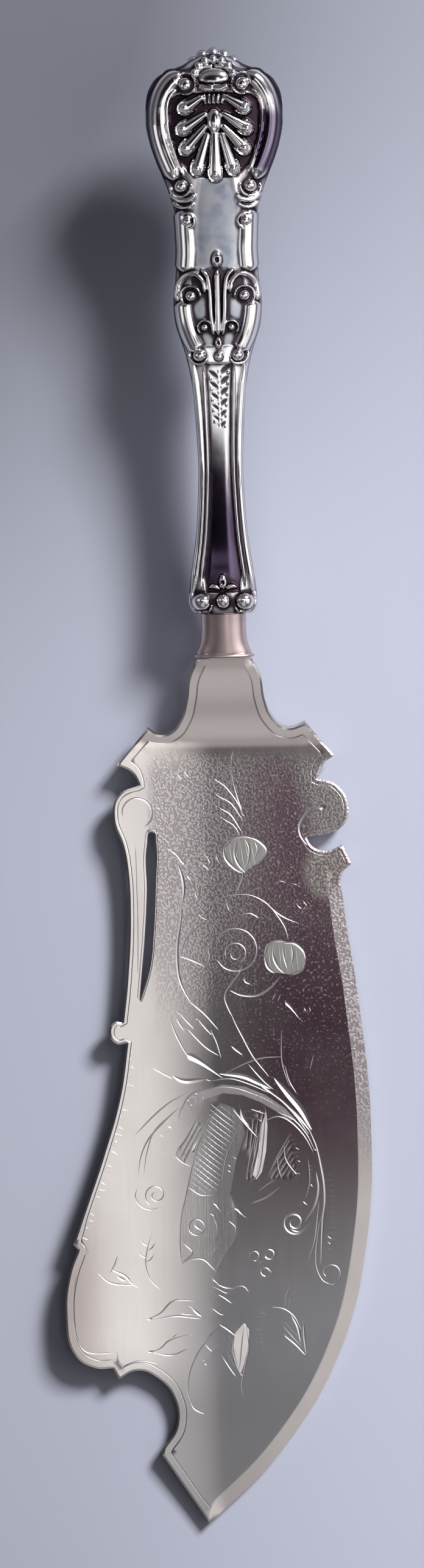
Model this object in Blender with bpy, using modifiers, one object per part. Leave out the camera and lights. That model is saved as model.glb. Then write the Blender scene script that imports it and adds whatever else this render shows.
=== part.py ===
"""Fish slice: a pierced sheet blade cranked up to a cast bolster, and a hollow handle of two struck shells.

The handle lies along +Y and the blade's point along -Y. The blade's flat underside rests on Z = 0, and the
origin lies on that underside, on the handle's centre line. Sizes are written in millimetres times MM.
"""

import math

import bmesh
import bpy
from mathutils import Matrix, Vector

MM = 0.001

# Places along the handle's centre line
LIP_FROM_ORIGIN = 30.0 * MM
CRANK_RISE = 7.0 * MM
HANDLE_TILT = math.radians(6.0)
JOINT_GAP = 0.3 * MM

# Blade sheet
BLADE_THICKNESS = 1.5 * MM
TONGUE_THICKNESS = 2.4 * MM
TONGUE_FLAT_HALF_WIDTH = 3.4 * MM
TONGUE_ROOT_HALF_WIDTH = 5.6 * MM
BEND_LENGTH = 19.0 * MM
BEND_STEPS = 8
DISH_START = -6.0 * MM
DISH_EDGE = -35.0 * MM
DISH_RISE = 3.4 * MM
DISH_STEPS = 6
OUTLINE_STEPS = 5

# Blade tenon in the bolster
TENON_HALF_WIDTH = 3.0 * MM
TENON_LENGTH = 4.5 * MM

# Bolster
LIP_HALF_WIDTH = 6.2 * MM
LIP_HALF_THICKNESS = 3.3 * MM
LIP_HEIGHT = 0.7 * MM
NECK_HALF_WIDTH = 5.6 * MM
NECK_FROM_LIP = 2.6 * MM
WAIST_HALF_WIDTH = 4.6 * MM
WAIST_HALF_THICKNESS = 3.0 * MM
WAIST_FROM_LIP = 5.0 * MM
BOLSTER_LENGTH = 9.0 * MM
SPIGOT_HALF_WIDTH = 3.4 * MM
SPIGOT_HALF_THICKNESS = 2.4 * MM
SPIGOT_LENGTH = 3.0 * MM
BOLSTER_SIDES = 32

# Tang
TANG_WIDTH = 3.8 * MM
TANG_THICKNESS = 2.2 * MM
TANG_END_WIDTH = 2.8 * MM
TANG_END_THICKNESS = 1.6 * MM
TANG_SOCKET_DEPTH = 5.0 * MM
TANG_REACH = 62.0 * MM

# Handle shells and their filling
SHELL_WALL = 0.7 * MM
SECTION_POWER = 2.6
SHELL_SEGMENTS = 14
FILLING_SIDES = 24
FILLING_TOP_FROM_LIP = 116.0 * MM

# Handle body: distance from the lip, half width, half thickness
HANDLE_STATIONS = [
    (9.3, 4.7, 3.5),
    (9.7, 5.7, 4.0),
    (10.6, 6.6, 4.4),
    (12.5, 6.9, 4.6),
    (15.0, 6.7, 4.5),
    (18.8, 6.1, 4.2),
    (22.5, 5.5, 3.9),
    (28.8, 4.9, 3.7),
    (35.0, 4.5, 3.6),
    (41.3, 4.5, 3.6),
    (47.5, 4.7, 3.7),
    (52.5, 5.1, 3.8),
    (57.5, 5.8, 4.0),
    (62.5, 6.9, 4.2),
    (65.0, 7.7, 4.3),
    (67.5, 8.5, 4.4),
    (70.0, 8.9, 4.5),
    (72.5, 9.0, 4.5),
    (77.5, 8.5, 4.4),
    (82.0, 8.2, 4.2),
    (88.0, 8.2, 4.2),
    (91.3, 8.5, 4.3),
    (93.8, 9.2, 4.4),
    (96.3, 10.0, 4.5),
    (98.8, 11.0, 4.6),
    (101.3, 12.0, 4.7),
    (105.0, 13.2, 4.8),
    (108.8, 13.9, 4.8),
    (112.5, 13.9, 4.7),
    (116.3, 13.0, 4.4),
    (118.5, 11.3, 4.0),
    (119.7, 9.2, 3.6),
    (120.6, 6.6, 3.2),
    (121.5, 5.0, 2.8),
    (122.3, 3.5, 2.3),
    (123.0, 1.8, 1.7),
]

# Struck ornament: how far it stands out of the shell's face, and how far it is sunk in
ORNAMENT_SUNK = 0.5 * MM
BUMP_SEGMENTS = 8
BEAD_PROUD = 0.9 * MM
REED_PROUD = 0.7 * MM
LOBE_PROUD = 0.8 * MM
BOSS_PROUD = 1.1 * MM

# Crown of beads round the top of the handle
CROWN_BEADS = 8
CROWN_CENTRE_FROM_LIP = 117.5 * MM
CROWN_RADIUS = 6.1 * MM
CROWN_BEAD_RADIUS = 0.85 * MM
CROWN_ABOVE_SEAM = 0.1 * MM
CROWN_STEP = math.radians(17.0)

# Boss under the crown
BOSS_FROM_LIP = 118.4 * MM
BOSS_HALF_WIDTH = 3.2 * MM
BOSS_HALF_LENGTH = 2.0 * MM

# Scallop shell: lobes fan out from its hinge to these tips, in millimetres from the centre line and the lip
SHELL_HINGE_FROM_LIP = 114.6 * MM
SHELL_TIPS = [(0.0, 97.8), (4.1, 100.5), (6.4, 104.4), (7.2, 109.0), (6.4, 113.4)]
LOBE_HALF_WIDTH = 1.05 * MM
LOBE_FROM_HINGE = 1.2 * MM

# Raised beads on each side: millimetres from the centre line and the lip, radius
SIDE_BEADS = [
    (6.0, 117.7, 1.5),
    (7.1, 97.6, 1.3),
    (4.7, 95.6, 1.3),
    (6.0, 89.4, 1.2),
    (5.3, 74.4, 1.6),
    (3.0, 62.3, 1.2),
    (4.3, 11.9, 2.1),
]
MIDDLE_BEADS = [(80.9, 1.0), (62.6, 1.0), (12.2, 1.4)]

# Palmette in the middle of the handle: half width and the ends of its lobes from the lip
PALMETTE_LOBES = [(0.0, 66.0, 80.0), (1.5, 67.5, 79.0)]
PALMETTE_HALF_WIDTH = 0.75 * MM

# Reeds along the edges: millimetres from the centre line and the lip
UPPER_REED = [
    (6.0, 119.9),
    (9.6, 118.6),
    (12.0, 115.4),
    (12.7, 110.5),
    (12.2, 105.8),
    (10.6, 101.2),
    (8.6, 97.6),
]
RAIL_REED = [(7.0, 94.0), (6.7, 90.5), (6.6, 85.0), (6.8, 80.0), (6.4, 77.4)]
MIDDLE_REED = [(5.3, 77.0), (7.2, 76.0), (7.7, 72.0), (7.1, 68.0), (5.7, 64.6), (4.4, 62.6)]
LOWER_REED = [(4.9, 60.4), (3.9, 52.0), (3.5, 41.0), (3.6, 34.0), (4.4, 24.0), (5.4, 16.5), (5.9, 12.5)]
REED_STEPS = 2

# Materials: colour, roughness, metallic
FINISHES = {
    "satin_silver": ((0.78, 0.75, 0.72), 0.36, 1.0),
    "cast_silver": ((0.76, 0.72, 0.69), 0.28, 1.0),
    "polished_silver": ((0.88, 0.87, 0.86), 0.1, 1.0),
    "tang_steel": ((0.42, 0.41, 0.40), 0.5, 1.0),
    "cement": ((0.20, 0.13, 0.09), 0.85, 0.0),
}

# Blade outline, clockwise from the tongue's right root: kind of anchor, then millimetres from the centre line
# and the lip. A smooth anchor is passed in a curve, and a corner is sharp.
BLADE_RIGHT = [
    ("smooth", 7.3, -3.6),
    ("smooth", 8.1, -8.4),
    ("smooth", 9.6, -12.2),
    ("smooth", 12.4, -14.5),
    ("corner", 16.3, -13.6),
    ("corner", 22.2, -20.5),
    ("smooth", 19.9, -22.3),
    ("corner", 18.6, -25.2),
    ("smooth", 22.4, -26.5),
    ("smooth", 24.9, -30.8),
    ("smooth", 23.5, -35.2),
    ("corner", 16.2, -37.3),
    ("smooth", 17.4, -39.2),
    ("smooth", 20.4, -40.1),
    ("corner", 23.5, -38.9),
    ("corner", 25.3, -42.8),
    ("smooth", 23.3, -45.0),
    ("smooth", 23.5, -50.5),
    ("smooth", 26.2, -70.5),
    ("smooth", 28.3, -95.5),
    ("smooth", 27.0, -120.5),
    ("smooth", 21.1, -143.0),
    ("smooth", 9.0, -162.8),
    ("corner", -6.3, -177.8),
]
BLADE_LEFT = [
    ("corner", -15.8, -163.4),
    ("corner", -15.4, -162.0),
    ("smooth", -12.7, -157.6),
    ("smooth", -13.4, -151.2),
    ("smooth", -16.6, -147.5),
    ("smooth", -20.4, -146.0),
    ("corner", -24.3, -147.7),
    ("corner", -25.5, -145.4),
    ("smooth", -29.0, -145.3),
    ("smooth", -33.2, -142.6),
    ("smooth", -35.0, -134.0),
    ("smooth", -34.0, -125.6),
    ("corner", -32.2, -120.9),
    ("corner", -33.2, -119.8),
    ("smooth", -30.4, -111.9),
    ("smooth", -26.9, -102.0),
    ("smooth", -23.2, -89.5),
    ("corner", -21.5, -78.8),
    ("smooth", -23.6, -78.9),
    ("smooth", -25.0, -76.7),
    ("smooth", -24.0, -74.5),
    ("corner", -22.3, -74.5),
    ("smooth", -21.3, -66.0),
    ("smooth", -20.5, -52.0),
    ("smooth", -20.9, -42.5),
    ("smooth", -21.6, -38.4),
    ("smooth", -23.4, -32.5),
    ("smooth", -22.3, -28.0),
    ("corner", -17.9, -25.9),
    ("smooth", -19.5, -23.2),
    ("corner", -22.4, -21.7),
    ("corner", -16.1, -14.2),
    ("smooth", -14.1, -15.4),
    ("smooth", -11.3, -15.0),
    ("smooth", -9.1, -12.2),
    ("smooth", -8.0, -8.4),
    ("smooth", -7.2, -3.6),
]
BLADE_SLOT = [
    ("smooth", -15.6, -35.6),
    ("smooth", -15.0, -37.8),
    ("smooth", -15.2, -46.0),
    ("smooth", -15.8, -56.0),
    ("smooth", -16.7, -63.5),
    ("corner", -18.7, -70.0),
    ("smooth", -18.2, -65.0),
    ("smooth", -17.4, -57.0),
    ("smooth", -16.8, -48.0),
    ("smooth", -16.6, -38.4),
]


def clear_scene():
    """Removes what the file opens with."""
    for obj in list(bpy.data.objects):
        bpy.data.objects.remove(obj)


def new_collection(name):
    collection = bpy.data.collections.new(name)
    bpy.context.scene.collection.children.link(collection)
    return collection


def new_material(name):
    colour, roughness, metallic = FINISHES[name]
    material = bpy.data.materials.new(name)
    material.use_nodes = True
    shader = material.node_tree.nodes["Principled BSDF"]
    shader.inputs["Base Color"].default_value = (*colour, 1.0)
    shader.inputs["Roughness"].default_value = roughness
    shader.inputs["Metallic"].default_value = metallic
    return material


def object_from(mesh_or_bmesh, name, collection, parent=None):
    """Links a mesh, or a finished bmesh, as an object under a parent empty."""
    mesh = mesh_or_bmesh
    if isinstance(mesh_or_bmesh, bmesh.types.BMesh):
        mesh = bpy.data.meshes.new(name)
        mesh_or_bmesh.to_mesh(mesh)
        mesh_or_bmesh.free()
    obj = bpy.data.objects.new(name, mesh)
    collection.objects.link(obj)
    obj.parent = parent
    return obj


def finish(obj, material, sharp_angle=math.radians(35.0)):
    obj.data.materials.append(material)
    obj.data.shade_smooth()
    obj.data.set_sharp_from_angle(angle=sharp_angle)


def as_cutter(obj):
    obj.hide_render = True
    obj.display_type = "WIRE"


def boolean(obj, other, operation):
    modifier = obj.modifiers.new(operation.lower(), "BOOLEAN")
    modifier.operation = operation
    modifier.object = other
    modifier.use_self = operation == "UNION"


def mesh_of_curve(curve, name):
    """The evaluated mesh of a curve, with its caps welded. The curve is removed."""
    guide = bpy.data.objects.new(name, curve)
    bpy.context.scene.collection.objects.link(guide)
    graph = bpy.context.evaluated_depsgraph_get()
    mesh = bpy.data.meshes.new_from_object(guide.evaluated_get(graph))
    bpy.data.objects.remove(guide)
    return mesh


def between(value, low, high):
    """How far value lies from low to high, from 0 to 1."""
    return min(1.0, max(0.0, (value - low) / (high - low)))


# Blade


def blade_anchors():
    """The whole outline: the tenon and the tongue's root, then the right and the left edge."""
    root, tenon = TONGUE_ROOT_HALF_WIDTH / MM, TENON_HALF_WIDTH / MM
    shoulder, top = -JOINT_GAP / MM, TENON_LENGTH / MM
    head = [
        ("corner", -root, shoulder),
        ("corner", -tenon, shoulder),
        ("corner", -tenon, top),
        ("corner", tenon, top),
        ("corner", tenon, shoulder),
        ("corner", root, shoulder),
    ]
    return head + BLADE_RIGHT + BLADE_LEFT


def add_outline(curve, anchors):
    spline = curve.splines.new("BEZIER")
    spline.bezier_points.add(len(anchors) - 1)
    for point, (kind, x, y) in zip(spline.bezier_points, anchors):
        point.co = (x * MM, y * MM, 0.0)
        handle = "AUTO" if kind == "smooth" else "VECTOR"
        point.handle_left_type = point.handle_right_type = handle
    spline.use_cyclic_u = True
    spline.resolution_u = OUTLINE_STEPS


def crank(y):
    """Height and slope of the blade's middle plane above its flat part, at a distance y from the lip."""
    slope = math.tan(HANDLE_TILT)
    if y >= 0.0:
        return CRANK_RISE + y * slope, slope
    t = between(y, -BEND_LENGTH, 0.0)
    rise = CRANK_RISE * (3 * t**2 - 2 * t**3) + BEND_LENGTH * slope * (t**3 - t**2)
    steep = CRANK_RISE * (6 * t - 6 * t**2) / BEND_LENGTH + slope * (3 * t**2 - 2 * t)
    return rise, steep


def dish(x):
    """Height that the blade's left side curls up to."""
    return DISH_RISE * max(0.0, (x - DISH_START) / (DISH_EDGE - DISH_START)) ** 2


def half_thickness(x, y, on_edge):
    """Half the sheet's thickness: the tongue swells to its flat middle, and thins to its edges."""
    swell = between(y, -BEND_LENGTH, -BEND_LENGTH / 3)
    if on_edge and y < -JOINT_GAP / 2 and abs(x) > TONGUE_FLAT_HALF_WIDTH:
        swell *= between(y, -BEND_LENGTH / 3, -BEND_LENGTH)
    return (BLADE_THICKNESS + swell * (TONGUE_THICKNESS - BLADE_THICKNESS)) / 2


def bend_blade(bm):
    """Moves the flat sheet's points to the cranked and dished form."""
    for vert in bm.verts:
        x, y, side = vert.co.x, vert.co.y, math.copysign(1.0, vert.co.z)
        on_edge = any(abs(face.normal.z) < 0.5 for face in vert.link_faces)
        offset = side * half_thickness(x, y, on_edge)
        rise, slope = crank(y)
        angle = math.atan(slope)
        vert.co.y = y - offset * math.sin(angle)
        vert.co.z = BLADE_THICKNESS / 2 + rise + offset * math.cos(angle) + dish(x)


def cut_lines(bm, places, axis):
    """Cuts the sheet along lines of constant x or y, so that it can bend there."""
    normal = Vector((1, 0, 0)) if axis == "x" else Vector((0, 1, 0))
    for place in places:
        geometry = bm.verts[:] + bm.edges[:] + bm.faces[:]
        bmesh.ops.bisect_plane(bm, geom=geometry, dist=1e-7, plane_co=normal * place, plane_no=normal)


def build_blade(collection, root):
    curve = bpy.data.curves.new("blade_outline", "CURVE")
    curve.dimensions = "2D"
    curve.fill_mode = "BOTH"
    curve.extrude = BLADE_THICKNESS / 2
    add_outline(curve, blade_anchors())
    add_outline(curve, BLADE_SLOT)
    bm = bmesh.new()
    bm.from_mesh(mesh_of_curve(curve, "blade_guide"))
    bmesh.ops.remove_doubles(bm, verts=bm.verts[:], dist=1e-6)
    bmesh.ops.dissolve_limit(bm, angle_limit=1e-3, verts=bm.verts[:], edges=bm.edges[:])
    bends = [-BEND_LENGTH * step / BEND_STEPS for step in range(BEND_STEPS + 1)]
    curls = [DISH_START + (DISH_EDGE - DISH_START) * step / DISH_STEPS for step in range(DISH_STEPS)]
    cut_lines(bm, bends, "y")
    cut_lines(bm, curls + [-TONGUE_FLAT_HALF_WIDTH, TONGUE_FLAT_HALF_WIDTH], "x")
    bm.normal_update()
    bend_blade(bm)
    bmesh.ops.triangulate(bm, faces=bm.faces[:])
    bmesh.ops.recalc_face_normals(bm, faces=bm.faces[:])
    blade = object_from(bm, "blade", collection, root)
    blade.location.y = LIP_FROM_ORIGIN
    finish(blade, new_material("satin_silver"))
    return blade


# Lofted pieces round the handle's centre line


def loft(rings, sides):
    """A closed body through (y, half width, half thickness) rings, from a disc whose rim is drawn on."""
    bm = bmesh.new()
    rim_points = bmesh.ops.create_circle(bm, cap_ends=True, segments=sides, radius=1.0)["verts"]
    bmesh.ops.rotate(bm, matrix=Matrix.Rotation(math.pi / 2, 3, "X"), verts=rim_points)
    rim = bm.edges[:]
    before = (0.0, 1.0, 1.0)
    for ring in rings:
        if ring != rings[0]:
            made = bmesh.ops.extrude_edge_only(bm, edges=rim)["geom"]
            rim_points = [item for item in made if isinstance(item, bmesh.types.BMVert)]
            rim = [item for item in made if isinstance(item, bmesh.types.BMEdge)]
        grow = Matrix.Diagonal((ring[1] / before[1], 1, ring[2] / before[2], 1))
        move = Matrix.Translation((0, ring[0] - before[0], 0))
        bmesh.ops.transform(bm, matrix=move @ grow, verts=rim_points)
        before = ring
    bmesh.ops.contextual_create(bm, geom=rim)
    bmesh.ops.recalc_face_normals(bm, faces=bm.faces[:])
    return bm


def tapered_bar(start, end, start_size, end_size):
    """A bar along Y from start to end, with a (width, thickness) at each."""
    bm = bmesh.new()
    corners = bmesh.ops.create_cube(bm, size=1.0)["verts"]
    for vert in corners:
        at_end = vert.co.y > 0
        width, thickness = end_size if at_end else start_size
        vert.co = Vector((vert.co.x * width, end if at_end else start, vert.co.z * thickness))
    return bm


def build_bolster(collection, cutters, handle):
    seat = BOLSTER_LENGTH
    rings = [
        (0.0, LIP_HALF_WIDTH, LIP_HALF_THICKNESS),
        (LIP_HEIGHT, LIP_HALF_WIDTH, LIP_HALF_THICKNESS),
        (LIP_HEIGHT, NECK_HALF_WIDTH, WAIST_HALF_THICKNESS),
        (NECK_FROM_LIP, (NECK_HALF_WIDTH + WAIST_HALF_WIDTH) / 2, WAIST_HALF_THICKNESS),
        (WAIST_FROM_LIP, WAIST_HALF_WIDTH, WAIST_HALF_THICKNESS),
        (seat, WAIST_HALF_WIDTH, WAIST_HALF_THICKNESS),
        (seat, SPIGOT_HALF_WIDTH, SPIGOT_HALF_THICKNESS),
        (seat + SPIGOT_LENGTH, SPIGOT_HALF_WIDTH, SPIGOT_HALF_THICKNESS),
    ]
    bolster = object_from(loft(rings, BOLSTER_SIDES), "bolster", collection, handle)
    gap = 2 * JOINT_GAP
    slot_size = (2 * TENON_HALF_WIDTH + gap, TONGUE_THICKNESS + gap)
    slot = tapered_bar(-LIP_HEIGHT, TENON_LENGTH + JOINT_GAP, slot_size, slot_size)
    socket_size = (TANG_WIDTH + gap, TANG_THICKNESS + gap)
    top = seat + SPIGOT_LENGTH
    socket = tapered_bar(top - TANG_SOCKET_DEPTH, top + LIP_HEIGHT, socket_size, socket_size)
    for name, cutter in (("tenon_slot", slot), ("tang_socket", socket)):
        cutter = object_from(cutter, name, cutters, handle)
        as_cutter(cutter)
        boolean(bolster, cutter, "DIFFERENCE")
    finish(bolster, new_material("cast_silver"))
    return bolster


def tang_ends():
    start = BOLSTER_LENGTH + SPIGOT_LENGTH - TANG_SOCKET_DEPTH + JOINT_GAP
    return start, start + TANG_REACH


def build_tang(collection, handle):
    bar = tapered_bar(*tang_ends(), (TANG_WIDTH, TANG_THICKNESS), (TANG_END_WIDTH, TANG_END_THICKNESS))
    tang = object_from(bar, "tang", collection, handle)
    finish(tang, new_material("tang_steel"))
    return tang


# Handle shells


def station_at(y):
    """Half width and half thickness of the handle's body at a distance y from the lip."""
    stations = [(place * MM, wide * MM, thick * MM) for place, wide, thick in HANDLE_STATIONS]
    if y <= stations[0][0]:
        return stations[0][1:]
    for low, high in zip(stations, stations[1:]):
        if y <= high[0]:
            t = between(y, low[0], high[0])
            return tuple(a + (b - a) * t for a, b in zip(low[1:], high[1:]))
    return stations[-1][1:]


def section_point(half_width, thick, share):
    """A point of the struck section, from one seam edge (share 0) to the other (share 1)."""
    angle = math.pi * share
    power = 2.0 / SECTION_POWER
    x = math.copysign(abs(math.cos(angle)) ** power, math.cos(angle))
    return half_width * x, thick * abs(math.sin(angle)) ** power


def face_height(x, y):
    """Height of the struck face above the seam, on the flats between the section's points."""
    half_width, thick = station_at(y)
    points = [section_point(half_width, thick, step / SHELL_SEGMENTS) for step in range(SHELL_SEGMENTS + 1)]
    for (x0, z0), (x1, z1) in zip(points, points[1:]):
        if x1 <= x <= x0:
            return z0 + (z1 - z0) * between(x, x0, x1)
    return 0.0


def struck_face(side):
    """The open outer face of one shell: the front for side 1, the back for side -1."""
    bm = bmesh.new()
    rows = len(HANDLE_STATIONS)
    bmesh.ops.create_grid(bm, x_segments=SHELL_SEGMENTS, y_segments=rows - 1, size=0.5)
    for vert in bm.verts:
        place, wide, thick = HANDLE_STATIONS[round((vert.co.y + 0.5) * (rows - 1))]
        x, z = section_point(wide * MM, thick * MM, vert.co.x + 0.5)
        vert.co = Vector((-side * x, place * MM, side * z))
    top = HANDLE_STATIONS[-1][0] * MM - 1e-6
    rim = [edge for edge in bm.edges if edge.is_boundary and min(vert.co.y for vert in edge.verts) > top]
    bmesh.ops.contextual_create(bm, geom=rim)
    bm.normal_update()
    return bm


def add_ellipsoid(bm, place, half_sizes, turn=0.0):
    """A ball stretched to three half sizes, with no corner on its own middle line."""
    matrix = Matrix.Translation(place) @ Matrix.Rotation(turn, 4, "Z") @ Matrix.Diagonal((*half_sizes, 1))
    matrix @= Matrix.Rotation(math.pi / BUMP_SEGMENTS, 4, "Z")
    bmesh.ops.create_uvsphere(bm, u_segments=BUMP_SEGMENTS, v_segments=6, radius=1.0, matrix=matrix)


def add_bump(bm, x, y, half_width, half_length, proud, turn=0.0):
    """A rounded swelling that stands proud of the face and is sunk into it."""
    half_height = (proud + ORNAMENT_SUNK) / 2
    place = (x, y, face_height(x, y) + proud - half_height)
    add_ellipsoid(bm, place, (half_width, half_length, half_height), turn)


def add_lobe(bm, start, end, half_width):
    (x0, y0), (x1, y1) = start, end
    half_length = math.hypot(x1 - x0, y1 - y0) / 2
    turn = math.atan2(x0 - x1, y1 - y0)
    add_bump(bm, (x0 + x1) / 2, (y0 + y1) / 2, half_width, half_length, LOBE_PROUD, turn)


def smooth_route(points, steps):
    """Points read from a smooth curve through the given ones."""
    last = len(points) - 1
    route = []
    for i in range(last):
        p0, p1, p2, p3 = (Vector(points[min(max(i + k, 0), last)]) for k in (-1, 0, 1, 2))
        for step in range(steps):
            t = step / steps
            square = 2 * p0 - 5 * p1 + 4 * p2 - p3
            cube = 3 * p1 - p0 - 3 * p2 + p3
            route.append(tuple(p1 + ((p2 - p0) * t + square * t**2 + cube * t**3) / 2))
    return route + [points[-1]]


def add_reed(bm, points):
    """A round reed laid along the struck face."""
    radius = (REED_PROUD + ORNAMENT_SUNK) / 2
    curve = bpy.data.curves.new("reed", "CURVE")
    curve.dimensions = "3D"
    curve.bevel_depth = radius
    curve.bevel_resolution = 1
    curve.use_fill_caps = True
    route = smooth_route([(x * MM, y * MM) for x, y in points], REED_STEPS)
    spline = curve.splines.new("POLY")
    spline.points.add(len(route) - 1)
    for point, (x, y) in zip(spline.points, route):
        point.co = (x, y, face_height(x, y) + REED_PROUD - radius, 1.0)
    tube = bmesh.new()
    tube.from_mesh(mesh_of_curve(curve, "reed_guide"))
    bmesh.ops.remove_doubles(tube, verts=tube.verts[:], dist=1e-6)
    bmesh.ops.recalc_face_normals(tube, faces=tube.faces[:])
    mesh = bpy.data.meshes.new("reed")
    tube.to_mesh(mesh)
    tube.free()
    bm.from_mesh(mesh)


def add_crown(bm):
    """Half beads round the top, cut off just above the seam."""
    for i in range(CROWN_BEADS):
        angle = (i - (CROWN_BEADS - 1) / 2) * CROWN_STEP
        place = (CROWN_RADIUS * math.sin(angle), CROWN_CENTRE_FROM_LIP + CROWN_RADIUS * math.cos(angle), 0.0)
        add_ellipsoid(bm, place, (CROWN_BEAD_RADIUS,) * 3)
    geometry = bm.verts[:] + bm.edges[:] + bm.faces[:]
    cut, down = Vector((0, 0, CROWN_ABOVE_SEAM)), Vector((0, 0, -1))
    bmesh.ops.bisect_plane(bm, geom=geometry, dist=1e-7, plane_co=cut, plane_no=down, clear_outer=True)
    bmesh.ops.holes_fill(bm, edges=bm.edges[:], sides=0)


def struck_ornament(side):
    """Everything that stands out of one shell's face, as overlapping closed bodies."""
    bm = bmesh.new()
    add_crown(bm)
    add_bump(bm, 0.0, BOSS_FROM_LIP, BOSS_HALF_WIDTH, BOSS_HALF_LENGTH, BOSS_PROUD)
    for place, radius in MIDDLE_BEADS:
        add_bump(bm, 0.0, place * MM, radius * MM, radius * MM, BEAD_PROUD)
    for mirrored in (-1, 1):
        for x, y, radius in SIDE_BEADS:
            add_bump(bm, mirrored * x * MM, y * MM, radius * MM, radius * MM, BEAD_PROUD)
        for reed in (UPPER_REED, RAIL_REED, MIDDLE_REED, LOWER_REED):
            add_reed(bm, [(mirrored * x, y) for x, y in reed])
    hinge = Vector((0.0, SHELL_HINGE_FROM_LIP))
    for x, y in [(m * x, y) for x, y in SHELL_TIPS for m in (-1, 1) if x or m > 0]:
        tip = Vector((x * MM, y * MM))
        add_lobe(bm, hinge + (tip - hinge).normalized() * LOBE_FROM_HINGE, tip, LOBE_HALF_WIDTH)
    for x, low, high in [(m * x, a, b) for x, a, b in PALMETTE_LOBES for m in (-1, 1) if x or m > 0]:
        add_lobe(bm, (x * MM, high * MM), (x * MM / 3, low * MM), PALMETTE_HALF_WIDTH)
    bmesh.ops.recalc_face_normals(bm, faces=bm.faces[:])
    if side < 0:
        bmesh.ops.transform(bm, matrix=Matrix.Scale(-1, 4, (0, 0, 1)), verts=bm.verts[:])
        bmesh.ops.reverse_faces(bm, faces=bm.faces[:])
    return bm


def build_shell(name, side, collection, cutters, handle, material):
    shell = object_from(struck_face(side), name, collection, handle)
    shell.location.z = side * JOINT_GAP / 2
    wall = shell.modifiers.new("wall", "SOLIDIFY")
    wall.thickness = SHELL_WALL
    wall.offset = -1.0
    wall.use_even_offset = True
    ornament = object_from(struck_ornament(side), name + "_ornament", cutters, handle)
    ornament.location.z = side * JOINT_GAP / 2
    as_cutter(ornament)
    boolean(shell, ornament, "UNION")
    finish(shell, material)
    return shell


def build_filling(collection, cutters, handle):
    """The cement that fills the shells, cast round the tang."""
    start = BOLSTER_LENGTH + SPIGOT_LENGTH + JOINT_GAP
    places = [start] + [row[0] * MM for row in HANDLE_STATIONS if start < row[0] * MM < FILLING_TOP_FROM_LIP]
    step, rings = JOINT_GAP, []
    for place in places:
        here, above, below = station_at(place), station_at(place + step), station_at(place - step)
        slopes = [(a - b) / (2 * step) for a, b in zip(above, below)]
        insets = [(SHELL_WALL + JOINT_GAP) * math.hypot(1.0, slope) for slope in slopes]
        rings.append((place, here[0] - insets[0], here[1] - insets[1]))
    filling = object_from(loft(rings, FILLING_SIDES), "handle_filling", collection, handle)
    gap = 2 * JOINT_GAP
    start, end = tang_ends()
    bore = tapered_bar(
        start,
        end + JOINT_GAP,
        (TANG_WIDTH + gap, TANG_THICKNESS + gap),
        (TANG_END_WIDTH + gap, TANG_END_THICKNESS + gap),
    )
    bore = object_from(bore, "tang_bore", cutters, handle)
    as_cutter(bore)
    boolean(filling, bore, "DIFFERENCE")
    finish(filling, new_material("cement"))
    return filling


def main():
    clear_scene()
    parts = new_collection("fish_slice")
    cutters = new_collection("cutters")
    root = object_from(None, "slice_frame", parts)
    handle = object_from(None, "handle_frame", parts, root)
    handle.location = (0.0, LIP_FROM_ORIGIN, BLADE_THICKNESS / 2 + CRANK_RISE)
    handle.rotation_euler.x = HANDLE_TILT
    build_blade(parts, root)
    build_bolster(parts, cutters, handle)
    build_tang(parts, handle)
    build_filling(parts, cutters, handle)
    polished = new_material("polished_silver")
    build_shell("handle_front_shell", 1, parts, cutters, handle, polished)
    build_shell("handle_back_shell", -1, parts, cutters, handle, polished)


main()
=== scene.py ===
"""Dresses the fish slice: an engraved satin blade, a polished bolster and a struck, polished handle.

Lengths are in metres, except where a name or a docstring says millimetres. The handle lies along +Y, the
blade along -Y, and the blade's flat underside rests on Z = 0. Plans are drawn from the middle of the
bolster's lip.
"""

from __future__ import annotations

import logging
import math
from dataclasses import dataclass
from enum import Enum
from typing import Sequence

import bmesh
import bpy
import numpy as np
from mathutils import Matrix, Vector
from mathutils.geometry import delaunay_2d_cdt


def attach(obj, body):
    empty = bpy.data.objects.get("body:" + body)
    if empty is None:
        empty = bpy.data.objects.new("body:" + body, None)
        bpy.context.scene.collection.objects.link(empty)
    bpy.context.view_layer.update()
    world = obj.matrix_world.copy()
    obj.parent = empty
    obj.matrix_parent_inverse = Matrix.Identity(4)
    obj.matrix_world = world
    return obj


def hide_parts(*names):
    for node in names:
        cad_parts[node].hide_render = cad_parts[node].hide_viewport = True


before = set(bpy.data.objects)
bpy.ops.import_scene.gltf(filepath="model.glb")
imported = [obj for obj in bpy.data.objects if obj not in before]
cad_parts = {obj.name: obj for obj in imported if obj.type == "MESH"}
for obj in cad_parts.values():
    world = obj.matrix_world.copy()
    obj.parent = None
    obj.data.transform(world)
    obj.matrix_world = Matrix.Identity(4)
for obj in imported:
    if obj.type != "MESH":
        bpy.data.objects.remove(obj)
LOG = logging.getLogger("fish_slice")
MM = 0.001
BODY = "root"
Points = Sequence[tuple[float, float]]
Colour = tuple[float, float, float]


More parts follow.
